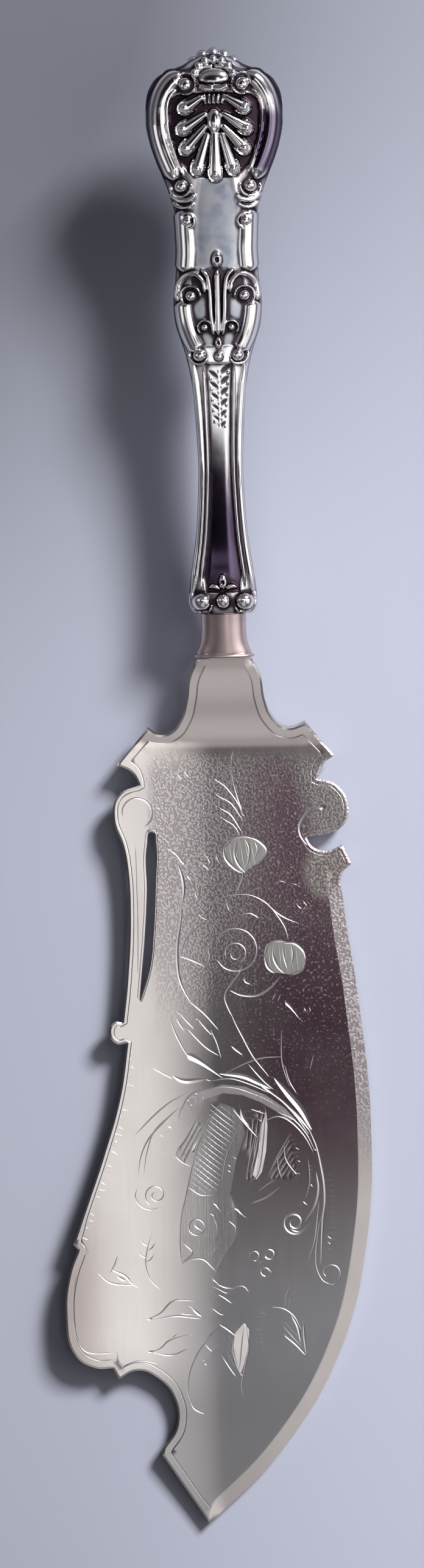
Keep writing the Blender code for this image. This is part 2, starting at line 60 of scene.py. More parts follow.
class Value:
    """A shader value. Its arithmetic adds Math nodes to the material that it belongs to."""

    def __init__(self, wiring: Wiring, socket: bpy.types.NodeSocket) -> None:
        """Wraps a socket.

        Args:
            wiring: The nodes that the socket belongs to.
            socket: The socket.
        """
        self.wiring = wiring
        self.socket = socket

    def math(self, operation: str, *others: Value | float) -> Value:
        """Adds one Math node.

        Args:
            operation: The Math node's operation.
            others: The values after this one.

        Returns:
            The node's result.
        """
        inputs = dict(enumerate((self, *others)))
        return self.wiring.node("ShaderNodeMath", {"operation": operation}, inputs)

    def __add__(self, other: Value | float) -> Value:
        """This plus other."""
        return self.math("ADD", other)

    __radd__ = __add__

    def __mul__(self, other: Value | float) -> Value:
        """This times other."""
        return self.math("MULTIPLY", other)

    __rmul__ = __mul__

    def __sub__(self, other: Value | float) -> Value:
        """This minus other."""
        return self.math("SUBTRACT", other)

    def __rsub__(self, other: Value | float) -> Value:
        """Other minus this."""
        return (self * -1.0).math("ADD", other)

    def __truediv__(self, other: Value | float) -> Value:
        """This over other."""
        return self.math("DIVIDE", other)

    def rise(self, low: float, high: float) -> Value:
        """A smooth step of this value.

        Args:
            low: Where the step starts.
            high: Where the step ends.

        Returns:
            The step, from 0 to 1.
        """
        settings = {"interpolation_type": "SMOOTHSTEP"}
        inputs = {"Value": self, "From Min": low, "From Max": high}
        return self.wiring.node("ShaderNodeMapRange", settings, inputs)


class Wiring:
    """A material or a world while its nodes are wired."""

    def __init__(self, tree: bpy.types.NodeTree) -> None:
        """Starts from an empty node tree."""
        self.tree = tree
        tree.nodes.clear()

    def node(
        self, kind: str, settings: dict | None = None, inputs: dict | None = None, output: str | int = 0
    ) -> Value:
        """Adds one node.

        Args:
            kind: The node's type.
            settings: Its properties, which are set first. A ramp's stops are given as "stops".
            inputs: Values or links for its sockets, by name or place.
            output: The socket that is returned.

        Returns:
            The chosen output.
        """
        made = self.tree.nodes.new(kind)
        for name, value in (settings or {}).items():
            if name == "stops":
                self.set_stops(made.color_ramp, value)
            else:
                setattr(made, name, value)
        for name, value in (inputs or {}).items():
            if isinstance(value, Value):
                self.tree.links.new(value.socket, made.inputs[name])
            else:
                made.inputs[name].default_value = value
        return Value(self, made.outputs[output] if len(made.outputs) else None)

    @staticmethod
    def set_stops(ramp: bpy.types.ColorRamp, stops: Sequence[tuple[float, Colour]]) -> None:
        """Gives a ramp its colours.

        Args:
            ramp: The ramp.
            stops: Pairs of a place and a colour.
        """
        while len(ramp.elements) < len(stops):
            ramp.elements.new(0.5)
        for element, (place, colour) in zip(ramp.elements, stops):
            element.position = place
            element.color = (*colour, 1.0)

    def place(self) -> Value:
        """The point's place on the piece."""
        return self.node("ShaderNodeTexCoord", output="Object")

    def axis(self, name: str) -> Value:
        """One coordinate of the point's place, in metres."""
        return self.node("ShaderNodeSeparateXYZ", inputs={"Vector": self.place()}, output=name)

    def grain(self, scale: float, stretch: Colour = (1.0, 1.0, 1.0), detail: float = 2.0) -> Value:
        """Noise from 0 to 1.

        Args:
            scale: How many grains there are to the metre.
            stretch: The scale's share along each axis.
            detail: How many finer layers it has.

        Returns:
            The noise's value.
        """
        mapped = self.node("ShaderNodeMapping", inputs={"Vector": self.place(), "Scale": stretch})
        return self.node("ShaderNodeTexNoise", inputs={"Vector": mapped, "Scale": scale, "Detail": detail})

    def mix(self, share: Value, low: Value | Colour, high: Value | Colour) -> Value:
        """A colour between two.

        Args:
            share: 0 for the low colour, 1 for the high one.
            low: The first colour.
            high: The second colour.

        Returns:
            The mixed colour.
        """
        ends = {name: end if isinstance(end, Value) else (*end, 1.0) for name, end in ((6, low), (7, high))}
        return self.node("ShaderNodeMix", {"data_type": "RGBA"}, {0: share, **ends}, 2)


class Finish:
    """A procedural finish that makes its material once."""

    made: dict[str, bpy.types.Material] = {}
    name: str

    def material(self) -> bpy.types.Material:
        """Makes the finish's material at its first use.

        Returns:
            The material.
        """
        if self.name not in Finish.made:
            material = bpy.data.materials.new(self.name)
            material.use_nodes = True
            wiring = Wiring(material.node_tree)
            shader = wiring.node("ShaderNodeBsdfPrincipled", inputs=self.sockets(wiring))
            wiring.node("ShaderNodeOutputMaterial", inputs={"Surface": shader})
            Finish.made[self.name] = material
        return Finish.made[self.name]

    def sockets(self, wiring: Wiring) -> dict:
        """The shader's inputs.

        Args:
            wiring: The material's nodes.

        Returns:
            Values and links by socket name.
        """
        raise NotImplementedError


@dataclass(frozen=True)
class SatinSilver(Finish):
    """The blade's field: satin silver with painted shade, a painted dark reflection at the upper right, and
    punch marks at the upper left.
    """

    name: str = "satin_silver"
    colour: Colour = (0.83, 0.80, 0.785)
    shade: Colour = (0.68, 0.65, 0.645)
    ground: Colour = (0.50, 0.43, 0.465)
    warm: Colour = (0.93, 0.855, 0.825)
    # painted dark reflection for the upper right, tinted wine-brown
    toned: Colour = (0.31, 0.18, 0.24)
    frosted: Colour = (0.72, 0.70, 0.63)
    # painted shade for the lower right
    lower_right_shade: Colour = (0.66, 0.67, 0.71)
    # painted shade for the point
    dim: Colour = (0.49, 0.485, 0.495)
    # painted shade for the far left rim of the bulge
    rim_shade: Colour = (0.60, 0.535, 0.52)

    def sockets(self, wiring: Wiring) -> dict:
        """The satin's colour with its painted shade and dark reflection, its roughness and punch marks.

        Args:
            wiring: The material's nodes.

        Returns:
            Values and links by socket name.
        """
        x, y = wiring.axis("X"), wiring.axis("Y")
        below_tongue = 1.0 - y.rise(5 * MM, 12 * MM)
        cloud = wiring.grain(70.0, detail=3.0)
        speck = wiring.grain(1900.0)
        lug = (x + y * 0.2).rise(13 * MM, 19 * MM) * y.rise(-10 * MM, -6 * MM)
        # Painted dark reflection: the upper right is painted darker and wine-tinted, fading out downwards
        # and at the tongue, with bright sparks left in it
        dark_reflection_share = x.rise(-9 * MM, 14 * MM) * y.rise(-102 * MM, -52 * MM) * below_tongue * (1.0 - lug * 0.9)
        dark_reflection_share = dark_reflection_share * (cloud.rise(0.25, 0.6) * 0.3 + 0.7)
        across, along = (x - 20.4 * MM) / (5.4 * MM), (y + 14.5 * MM) / (6.2 * MM)
        patch = 1.0 - (across * across + along * along + (speck - 0.5) * 1.4).rise(0.5, 1.3)
        frost = patch.math("MAXIMUM", lug * below_tongue * 0.2)
        matted = (1.0 - x.rise(-8 * MM, 16 * MM) * 0.45) * y.rise(-52 * MM, -12 * MM) * below_tongue
        matted = matted * x.rise(-17 * MM, -14 * MM)
        punched = matted.math("MAXIMUM", frost)
        flecks = speck.rise(0.46, 0.58)
        sparks = speck.rise(0.58, 0.68) * y.rise(-80 * MM, -30 * MM)
        brushed = wiring.grain(1500.0, (1.0, 0.04, 1.0))
        bump = {"Strength": 0.35, "Distance": 0.05 * MM, "Height": flecks * punched + brushed * 0.008}
        worn = x.rise(-20 * MM, -10 * MM) * (1.0 - y.rise(-110 * MM, -70 * MM))
        # Painted shade: the lower right is painted darker and cooler
        lower = x.rise(-14 * MM, 2 * MM) * (1.0 - y.rise(-112 * MM, -78 * MM))
        # Painted shade: the far left rim of the bulge is painted darker and rosier
        rim = (1.0 - x.rise(-33 * MM, -24 * MM)) * (1.0 - y.rise(-98 * MM, -72 * MM))
        # Painted shade: the point is painted darker, less so on its right
        point = (1.0 - y.rise(-126 * MM, -110 * MM)) * (1.0 - x.rise(-16 * MM, -2 * MM) * 0.5)
        plain = wiring.mix(lower, wiring.mix(cloud * 0.4, self.colour, self.shade), self.lower_right_shade)
        plain = wiring.mix(point, plain, self.dim)
        satin = wiring.mix(y.rise(5 * MM, 14 * MM), wiring.mix(rim, plain, self.rim_shade), self.warm)
        reflection_darkened = wiring.mix(dark_reflection_share * (1.0 - sparks * 0.55), satin, self.toned)
        pitted = wiring.mix((1.0 - flecks) * matted * 0.7, reflection_darkened, self.ground)
        frosting = frost * (flecks * 0.5 + 0.4)
        marks = brushed * 0.03 + punched * 0.06 + sparks * dark_reflection_share * 0.12 + cloud * 0.04 + worn * 0.05
        return {
            "Base Color": wiring.mix(frosting, pitted, self.frosted),
            "Roughness": marks + 0.17,
            "Metallic": 1.0,
            "Normal": wiring.node("ShaderNodeBump", inputs=bump),
        }


@dataclass(frozen=True)
class EdgeSilver(Finish):
    """The blade's border: burnished, and frosted along the upper part of its right side."""

    name: str = "burnished_edge"
    colour: Colour = (0.70, 0.665, 0.65)
    frosted: Colour = (0.42, 0.36, 0.39)

    def sockets(self, wiring: Wiring) -> dict:
        """The burnish and the frosting.

        Args:
            wiring: The material's nodes.

        Returns:
            Values and links by socket name.
        """
        x, y = wiring.axis("X"), wiring.axis("Y")
        speck = wiring.grain(1900.0, detail=1.5)
        cloud = wiring.grain(150.0)
        frost = x.rise(14 * MM, 17 * MM) * y.rise(-84 * MM, -52 * MM)
        flecks = speck.rise(0.42, 0.64) * frost
        bump = {"Strength": 0.5, "Distance": 0.05 * MM, "Height": flecks}
        return {
            "Base Color": wiring.mix(frost * (1.0 - flecks), self.colour, self.frosted),
            "Roughness": cloud * 0.06 + frost * 0.12 + 0.22,
            "Metallic": 1.0,
            "Normal": wiring.node("ShaderNodeBump", inputs=bump),
        }


@dataclass(frozen=True)
class BurnishedSilver(Finish):
    """Bright silver of a graver's cut or a casting, with faint lengthwise polishing lines."""

    name: str
    colour: Colour
    roughness: float
    lines: float = 0.15

    def sockets(self, wiring: Wiring) -> dict:
        """The burnish and its lines.

        Args:
            wiring: The material's nodes.

        Returns:
            Values and links by socket name.
        """
        lines = wiring.grain(2400.0, (1.0, 0.05, 1.0))
        cloud = wiring.grain(150.0)
        dull = tuple(part * 0.82 for part in self.colour)
        bump = {"Strength": self.lines, "Distance": 0.03 * MM, "Height": lines}
        return {
            "Base Color": wiring.mix(cloud.rise(0.35, 0.75), self.colour, dull),
            "Roughness": cloud * 0.06 + lines * 0.05 + self.roughness,
            "Metallic": 1.0,
            "Normal": wiring.node("ShaderNodeBump", inputs=bump),
        }


@dataclass(frozen=True)
class StruckSilver(Finish):
    """The handle: mirror-bright high ground, satin panels, dark patina held in the hollows, and painted
    dark reflection in places.
    """

    name: str = "struck_silver"
    colour: Colour = (0.90, 0.875, 0.89)
    # dark patina in the hollows, also used as painted dark reflection on steep flanks
    patina_and_flank_shade: Colour = (0.05, 0.033, 0.046)
    satin: Colour = (0.52, 0.535, 0.59)
    bloom: Colour = (0.34, 0.38, 0.49)
    white: Colour = (0.95, 0.94, 0.95)
    # painted dark reflection for the lower channel, the bow's edges and its right arm
    dark_reflection_colour: Colour = (0.13, 0.10, 0.17)

    def sockets(self, wiring: Wiring) -> dict:
        """The polish, the satin, the patina and the painted dark reflection.

        Args:
            wiring: The material's nodes.

        Returns:
            Values and links by socket name.
        """
        # recess holds the patina in the hollows and the painted dark reflection on steep flanks
        recess = wiring.node("ShaderNodeAttribute", {"attribute_name": "recess"}, output="Fac")
        ground = wiring.node("ShaderNodeAttribute", {"attribute_name": "ground"}, output="Fac")
        # Painted dark reflection: where the mesh marks it, the polish is darkened towards dark purple
        toned = wiring.node("ShaderNodeAttribute", {"attribute_name": "toned"}, output="Fac")
        cloud = wiring.grain(420.0, detail=4.0)
        darkened = (recess + (cloud - 0.5) * 0.35).rise(0.2, 0.85)
        scuffs = wiring.grain(1800.0, (1.0, 0.2, 1.0))
        bump = {"Strength": 0.08, "Distance": 0.03 * MM, "Height": scuffs}
        polished = wiring.mix(darkened, wiring.mix(toned, self.colour, self.dark_reflection_colour), self.patina_and_flank_shade)
        panel = wiring.mix(wiring.grain(240.0, detail=4.0).rise(0.4, 0.65), self.satin, self.bloom)
        chased = (1.0 - wiring.axis("Y").rise(90 * MM, 95 * MM)) * ground
        panel = wiring.mix(chased, panel, self.white)
        return {
            "Base Color": wiring.mix(ground * (1.0 - darkened * 0.95), polished, panel),
            "Roughness": darkened * 0.3 + ground * 0.3 - chased * 0.18 + cloud * 0.06 + 0.09,
            "Metallic": 1.0,
            "Specular Tint": (0.35, 0.33, 0.35, 1.0),
            "Normal": wiring.node("ShaderNodeBump", inputs=bump),
        }


@dataclass(frozen=True)
class PlainGround(Finish):
    """A ground with two tones: cement or forged steel."""

    name: str
    light: Colour
    dark: Colour
    roughness: float
    metallic: float
    scale: float

    def sockets(self, wiring: Wiring) -> dict:
        """The ground's tones and grit.

        Args:
            wiring: The material's nodes.

        Returns:
            Values and links by socket name.
        """
        cloud = wiring.grain(self.scale, detail=5.0)
        bump = {"Strength": 0.3, "Distance": 0.1 * MM, "Height": cloud}
        return {
            "Base Color": wiring.mix(cloud.rise(0.3, 0.7), self.light, self.dark),
            "Roughness": cloud * 0.1 + self.roughness,
            "Metallic": self.metallic,
            "Normal": wiring.node("ShaderNodeBump", inputs=bump),
        }


@dataclass(frozen=True)
class FloorPaper(Finish):
    """Pale paper with painted shade that darkens it slowly towards the left and the far end, and a little
    towards the point, near the object only.
    """

    name: str = "studio_paper"
    light: Colour = (0.485, 0.505, 0.615)
    dark: Colour = (0.13, 0.136, 0.165)

    def sockets(self, wiring: Wiring) -> dict:
        """The paper's painted shade and its tooth.

        Args:
            wiring: The material's nodes.

        Returns:
            Values and links by socket name.
        """
        x, y = wiring.axis("X"), wiring.axis("Y")
        # Painted shade: darker towards the upper left, the far end and the point, fading out away from the
        # object
        corner = (1.0 - x.rise(-90 * MM, 60 * MM)) * y.rise(-20 * MM, 190 * MM)
        ends = (1.0 - x.rise(-60 * MM, 50 * MM)) * 0.3 + y.rise(20 * MM, 200 * MM) * 0.46
        near = (1.0 - y.rise(-260 * MM, -60 * MM)) * 0.16
        shade = (corner * 0.75 + ends + near).math("MINIMUM", 0.95)
        close = 1.0 - (x * x + y * y).math("SQRT").rise(175 * MM, 460 * MM) * 0.9
        tooth = wiring.grain(900.0, detail=3.0)
        bump = {"Strength": 0.1, "Distance": 0.05 * MM, "Height": tooth}
        return {
            "Base Color": wiring.mix(shade * close, self.light, self.dark),
            "Roughness": tooth * 0.1 + 0.75,
            "Normal": wiring.node("ShaderNodeBump", inputs=bump),
        }


FIELD = SatinSilver()
BEVEL = EdgeSilver()
BRIGHT_CUT = BurnishedSilver("bright_cut", (0.51, 0.49, 0.51), 0.37, 0.05)
PALE = BurnishedSilver("pale_cut", (0.86, 0.82, 0.805), 0.5, 0.3)
CAST = BurnishedSilver("cast_silver", (0.66, 0.53, 0.525), 0.27)
STRUCK = StruckSilver()
STEEL = PlainGround("forged_tang", (0.42, 0.41, 0.40), (0.24, 0.22, 0.20), 0.42, 1.0, 300.0)
CEMENT = PlainGround("pitch_cement", (0.22, 0.14, 0.09), (0.12, 0.08, 0.05), 0.75, 0.0, 500.0)
FROST = BurnishedSilver("frosted_bud", (0.56, 0.55, 0.51), 0.34, 0.8)
SHADED = BurnishedSilver("shaded_ground", (0.72, 0.70, 0.70), 0.22, 0.4)
PRICKED = BurnishedSilver("pricked_ground", (0.56, 0.525, 0.535), 0.34, 0.8)
FLOOR = FloorPaper()


def smooth_line(points: Points, step: float) -> np.ndarray:
    """Reads a smooth curve through points at even steps.

    Args:
        points: What the curve passes through.
        step: The distance between the points read.

    Returns:
        The points read, as rows of x and y.
    """
    given = np.asarray(points, float)
    if len(given) == 2:
        count = max(2, round(float(np.hypot(*(given[1] - given[0]))) / step) + 1)
        return np.linspace(given[0], given[1], count)
    padded = np.vstack([2 * given[0] - given[1], given, 2 * given[-1] - given[-2]])
    t = np.linspace(0.0, 1.0, 24, endpoint=False)[:, None]
    runs = []
    for a, b, c, d in zip(padded, padded[1:], padded[2:], padded[3:]):
        square, cube = 2 * a - 5 * b + 4 * c - d, 3 * b - a - 3 * c + d
        runs.append(b + 0.5 * ((c - a) * t + square * t**2 + cube * t**3))
    fine = np.vstack([*runs, given[-1:]])
    walked = np.concatenate([[0.0], np.cumsum(np.hypot(*np.diff(fine, axis=0).T))])
    places = np.linspace(0.0, walked[-1], max(2, round(walked[-1] / step) + 1))
    return np.column_stack([np.interp(places, walked, fine[:, 0]), np.interp(places, walked, fine[:, 1])])


def nearest(line: np.ndarray, points: np.ndarray) -> tuple[np.ndarray, np.ndarray]:
    """Finds how far points lie from a line.

    Args:
        line: The line's points.
        points: The points to measure.

    Returns:
        Each point's distance, and the share of the line's points at its nearest place.
    """
    best = np.full(len(points), np.inf)
    share = np.zeros(len(points))
    for i, (start, end) in enumerate(zip(line, line[1:])):
        run = end - start
        t = np.clip((points - start) @ run / max(float(run @ run), 1e-12), 0.0, 1.0)
        far = np.hypot(*(points - start - t[:, None] * run).T)
        closer = far < best
        best[closer] = far[closer]
        share[closer] = (i + t[closer]) / (len(line) - 1)
    return best, share


def inside(loop: np.ndarray, points: np.ndarray) -> np.ndarray:
    """Finds which points lie within a closed loop.

    Args:
        loop: The loop's points.
        points: The points to test.

    Returns:
        Whether each point lies within.
    """
    x, y = points.T
    within = np.zeros(len(points), bool)
    for (x0, y0), (x1, y1) in zip(loop, np.roll(loop, -1, axis=0)):
        if y0 != y1:
            crosses = ((y0 > y) != (y1 > y)) & (x < (x1 - x0) * (y - y0) / (y1 - y0) + x0)
            within ^= crosses
    return within


def piece_from(
    bm: bmesh.types.BMesh, name: str, node: str, finishes: Sequence[Finish]
) -> bpy.types.Object:
    """Makes a finished piece that stands for a CAD node.

    Args:
        bm: The piece's mesh, which is used up.
        name: The piece's name.
        node: The CAD node that it replaces.
        finishes: Its finishes, in the order of its material numbers.

    Returns:
        The linked object.
    """
    mesh = bpy.data.meshes.new(name)
    bm.to_mesh(mesh)
    bm.free()
    for finish in finishes:
        mesh.materials.append(finish.material())
    piece = bpy.data.objects.new(name, mesh)
    bpy.context.scene.collection.objects.link(piece)
    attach(piece, BODY)
    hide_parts(node)
    LOG.info("%s stands for %s with %d faces", name, node, len(mesh.polygons))
    return piece


@dataclass(frozen=True)
class Setting:
    """Where the blade and the handle stand."""

    lip: float = 30.0 * MM
    rise: float = 7.0 * MM
    tilt: float = math.radians(6.0)
    sheet: float = 1.5 * MM

    def handle(self) -> Matrix:
        """The matrix from the handle's own frame to the row frame."""
        lifted = Matrix.Translation((0.0, self.lip, self.sheet / 2 + self.rise))
        return lifted @ Matrix.Rotation(self.tilt, 4, "X")


SETTING = Setting()


@dataclass(frozen=True)
class Sheet:
    """The engraver's drawing: eighths of a millimetre from its top left corner, turned a little."""

    lip: tuple[float, float] = (368.0, 1080.0)
    unit: float = 0.125
    turn: float = math.radians(1.08)

    def plan(self, points: Points) -> np.ndarray:
        """Turns points of the drawing into the blade's plan.

        Args:
            points: Points in the drawing's units.

        Returns:
            The points in millimetres from the lip.
        """
        across, down = (np.asarray(points, float) - self.lip).T
        x = across * math.cos(self.turn) - down * math.sin(self.turn)
        y = -across * math.sin(self.turn) - down * math.cos(self.turn)
        return np.column_stack([x, y]) * self.unit


SHEET = Sheet()


class Taper(Enum):
    """How a cut's width runs from its start to its end."""

    BOTH = "both"
    START = "start"
    END = "end"
    NONE = "none"

    def share(self, t: np.ndarray) -> np.ndarray:
        """The share of the full width along a cut.

        Args:
            t: Places along the cut, from 0 to 1.

        Returns:
            The share at each place.
        """
        ends = {
            Taper.BOTH: np.sin(np.pi * np.clip(t, 0, 1)) ** 0.6,
            Taper.START: np.minimum(t * 1.15, 1.0) * np.minimum(1.0, np.sqrt(np.clip((1 - t) * 8, 0, 1))),
            Taper.END: np.minimum((1 - t) * 1.15, 1.0) * np.minimum(1.0, np.sqrt(np.clip(t * 8, 0, 1))),
            Taper.NONE: np.minimum(1.0, np.sqrt(np.clip(np.minimum(t, 1 - t) * 12, 0, 1))),
        }
        return np.maximum(ends[self], 0.0)


# Half of a stroke's cut width as a share of its drawn width, and the least half width in millimetres
HALF_WIDTH_SHARE = 0.33
LEAST_HALF_WIDTH = 0.02


@dataclass(frozen=True)
class Cut:
    """One stroke of the graver, in the drawing's units. Its drawn width and its step are in millimetres."""

    points: Points
    width: float = 0.45
    taper: Taper = Taper.BOTH
    step: float = 0.55
    steepness: float = 0.39

    def line(self) -> np.ndarray:
        """The stroke's middle line in millimetres from the lip."""
        return smooth_line(SHEET.plan(self.points), self.step)

    def half_widths(self, count: int) -> np.ndarray:
        """Half the stroke's cut width at each of its points."""
        share = self.taper.share(np.linspace(0.0, 1.0, count))
        return np.maximum(share * self.width * HALF_WIDTH_SHARE, LEAST_HALF_WIDTH)


def ring(
    x: float, y: float, radius: float, start: float = 0.0, turns: float = 1.0, inner: float | None = None
) -> Points:
    """Points round a circle, or in to a spiral's inner radius.

    Args:
        x: The middle's place across the plan or drawing.
        y: The middle's place along it.
        radius: The radius at the start.
        start: The angle at the start, in degrees.
        turns: How many turns it makes. A negative number turns the other way.
        inner: The radius at the end.

    Returns:
        The points.
    """
    count = max(6, round(abs(turns) * 14))
    last = radius if inner is None else inner
    points = []
    for i in range(count + 1):
        share = i / count
        angle = math.radians(start) + math.tau * turns * share
        reach = radius + (last - radius) * share
        points.append((x + reach * math.cos(angle), y + reach * math.sin(angle)))
    return points


# Points tried along a line of hatching, a hatched cut's step, and half a prick's length in the drawing
HATCH_SAMPLES = 160
HATCH_STEP = 3.0
PRICK_HALF_LENGTH = 1.2


def hatch(
    corners: Points, angle: float, gap: float, width: float = 0.2, steepness: float = 0.14
) -> list[Cut]:
    """Parallel cuts across an outline.

    Args:
        corners: The outline's corners in the drawing's units.
        angle: The cuts' direction, in degrees.
        gap: The distance between them, in the drawing's units.
        width: Their width in millimetres.
        steepness: How steep their flanks are.

    Returns:
        The cuts.
    """
    loop = np.asarray(corners, float)
    along = np.array([math.cos(math.radians(angle)), math.sin(math.radians(angle))])
    across = np.array([-along[1], along[0]])
    middle, reach = loop.mean(axis=0), float(np.ptp(loop, axis=0).max())
    cuts = []
    for offset in np.arange(-reach, reach, gap):
        samples = middle + across * offset + along * np.linspace(-reach, reach, HATCH_SAMPLES)[:, None]
        held = samples[inside(loop, samples)]
        if len(held) > 3:
            cuts.append(Cut((tuple(held[0]), tuple(held[-1])), width, Taper.NONE, HATCH_STEP, steepness))
    return cuts


def dotted(points: Points, gap: float, width: float = 0.7) -> list[Cut]:
    """A row of small pricks along a smooth line.

    Args:
        points: What the line passes through, in the drawing's units.
        gap: The distance between the pricks, in the drawing's units.
        width: Their width in millimetres.

    Returns:
        The pricks, as short cuts.
    """
    half = PRICK_HALF_LENGTH
    return [Cut(((x - half, y), (x + half, y)), width, Taper.NONE) for x, y in smooth_line(points, gap)]


# The engraving, group by group, from the handle to the point
TOP_SPRAY = (
    Cut(((382, 1237), (380, 1250)), 0.4),
    Cut(((380, 1256), (382, 1280), (387, 1300), (397, 1330)), 0.6, Taper.START),
    Cut(((358, 1308), (380, 1320), (397, 1345)), 0.45),
    Cut(((352, 1280), (371, 1293), (390, 1318), (398, 1338)), 0.45),
    Cut(((362, 1328), (380, 1339), (396, 1365)), 0.6),
    Cut(((366, 1345), (384, 1356), (394, 1372)), 0.35),
    Cut(((296, 1278), (291, 1271)), 0.4),
    Cut(((302, 1266), (309, 1276)), 0.4),
    Cut(((299, 1283), (308, 1281)), 0.35),
)
UPPER_BUD_OUTLINE = (
    (369, 1393), (384, 1379), (403, 1375), (424, 1382), (437, 1397),
    (429, 1411), (415, 1423), (400, 1434), (383, 1424), (371, 1409),
)
LOWER_BUD_OUTLINE = (
    (435, 1570), (441, 1554), (455, 1547), (484, 1551), (497, 1562), (501, 1577),
    (495, 1592), (477, 1601), (464, 1599), (450, 1598), (440, 1587),
)
UPPER_BUD = (
    *hatch(UPPER_BUD_OUTLINE, 80.0, 9.0, 0.35, 0.3),
    Cut(((367, 1392), (382, 1378), (401, 1374), (416, 1378)), 0.85),
    Cut(((405, 1374), (424, 1381), (438, 1396), (430, 1411), (416, 1423)), 0.85),
    Cut(((367, 1392), (370, 1410), (383, 1425), (398, 1435)), 0.9),
    Cut(((390, 1381), (385, 1400), (390, 1418), (402, 1433)), 0.85),
    Cut(((402, 1378), (409, 1393), (408, 1412), (402, 1431)), 0.75),
    Cut(((418, 1382), (423, 1396), (416, 1413)), 0.75),
    Cut(((399, 1434), (397, 1446), (388, 1466)), 0.75),
)
LEFT_LEAFLETS = (
    Cut(((278, 1396), (290, 1405), (301, 1419)), 0.7, Taper.START),
    Cut(((292, 1420), (299, 1440), (302, 1462), (299, 1486)), 1.1),
    Cut(((298, 1480), (297, 1510), (291, 1555), (293, 1600), (302, 1627), (314, 1648)), 0.95),
    Cut(((306, 1438), (313, 1446)), 0.5),
    Cut(((341, 1409), (345, 1418)), 0.45),
    Cut(((355, 1405), (358, 1415)), 0.45),
    Cut(((320, 1464), (324, 1478)), 0.5),
    Cut(((333, 1420), (340, 1427)), 0.35),
    Cut(((330, 1506), (335, 1510)), 0.5),
    Cut(((372, 1484), (377, 1497)), 0.4),
)
MIDDLE_SCROLL = (
    Cut(((330, 1494), (356, 1478), (383, 1470), (410, 1470), (433, 1480), (450, 1495)), 0.45, Taper.START),
    Cut(((436, 1482), (452, 1497), (469, 1508), (488, 1516)), 0.45),
    Cut(((446, 1492), (460, 1510), (469, 1526), (473, 1542)), 0.45),
    Cut(((334, 1517), (314, 1532), (302, 1549), (296, 1571)), 0.6),
    Cut(((296, 1571), (316, 1578), (333, 1586)), 0.5),
    Cut(((336, 1590), (344, 1576), (343, 1560), (350, 1546)), 0.4),
    Cut(((364, 1503), (351, 1522), (343, 1543)), 0.35),
    Cut(((396, 1503), (411, 1500), (425, 1508)), 0.55),
    Cut(ring(387, 1560, 35, 200.0, 0.86), 0.45, Taper.NONE),
    Cut(ring(387, 1566, 17, 160.0, 0.75), 0.45, Taper.NONE),
    Cut(ring(387, 1568, 8, 0.0, 0.6), 0.35, Taper.NONE),
    Cut(((452, 1453), (460, 1447), (469, 1450)), 0.35),
    Cut(((482, 1452), (489, 1454)), 0.35),
    Cut(((488, 1487), (495, 1493)), 0.45),
    Cut(((498, 1480), (504, 1488)), 0.35),
)
LOWER_BUD = (
    *hatch(LOWER_BUD_OUTLINE, 84.0, 9.0, 0.35, 0.3),
    Cut(((434, 1570), (439, 1554), (453, 1546), (470, 1547)), 0.85),
    Cut(((434, 1570), (439, 1588), (450, 1599)), 0.9),
    Cut(((449, 1554), (449, 1572), (456, 1588), (466, 1599)), 0.9),
    Cut(((466, 1549), (484, 1550), (498, 1562), (502, 1577)), 0.85),
    Cut(((502, 1577), (496, 1593), (478, 1602)), 0.85),
    Cut(((478, 1553), (481, 1570), (477, 1588)), 0.75),
    Cut(((464, 1556), (467, 1574), (472, 1592)), 0.7),
    Cut(((401, 1604), (402, 1612), (411, 1617)), 0.6),
)
STEM = (
    Cut(((398, 1585), (392, 1600), (380, 1616), (371, 1630), (370, 1644), (380, 1668)), 0.5, Taper.NONE),
    Cut(((375, 1655), (386, 1680), (398, 1703), (416, 1736), (441, 1768)), 0.5),
    Cut(((377, 1627), (397, 1635), (423, 1635), (446, 1621), (461, 1603)), 0.75),
    Cut(((453, 1631), (447, 1643)), 0.4),
    Cut(((461, 1633), (456, 1645)), 0.35),
    Cut(((468, 1646), (478, 1656), (491, 1673)), 1.0, Taper.END),
    Cut(((499, 1655), (502, 1661)), 0.4),
    Cut(((508, 1654), (510, 1661)), 0.4),
)
LEAF_CLUSTER = (
    Cut(((313, 1647), (336, 1666), (358, 1691)), 0.5),
    Cut(((326, 1676), (345, 1698)), 0.45),
    Cut(((289, 1671), (301, 1692)), 0.6),
    Cut(((296, 1666), (318, 1690)), 0.35),
    Cut(((279, 1675), (289, 1700), (303, 1727), (311, 1738)), 0.55),
    Cut(((309, 1692), (336, 1719), (358, 1734)), 0.45),
    Cut(((346, 1692), (356, 1713), (363, 1738)), 0.5),
    Cut(((380, 1719), (398, 1733)), 0.6),
    Cut(((306, 1732), (330, 1745), (365, 1771)), 2.3, Taper.END),
    Cut(((284, 1768), (303, 1776), (338, 1773)), 1.6),
    Cut(((252, 1755), (283, 1772)), 0.4),
    Cut(((360, 1764), (398, 1768), (424, 1779), (445, 1789)), 1.5),
    Cut(((371, 1763), (403, 1747), (431, 1738), (461, 1736)), 0.45),
    Cut(((409, 1750), (433, 1776), (448, 1789)), 0.45),
    Cut(((462, 1693), (463, 1743), (474, 1782)), 0.3),
    Cut(((515, 1733), (509, 1757)), 0.3),
)
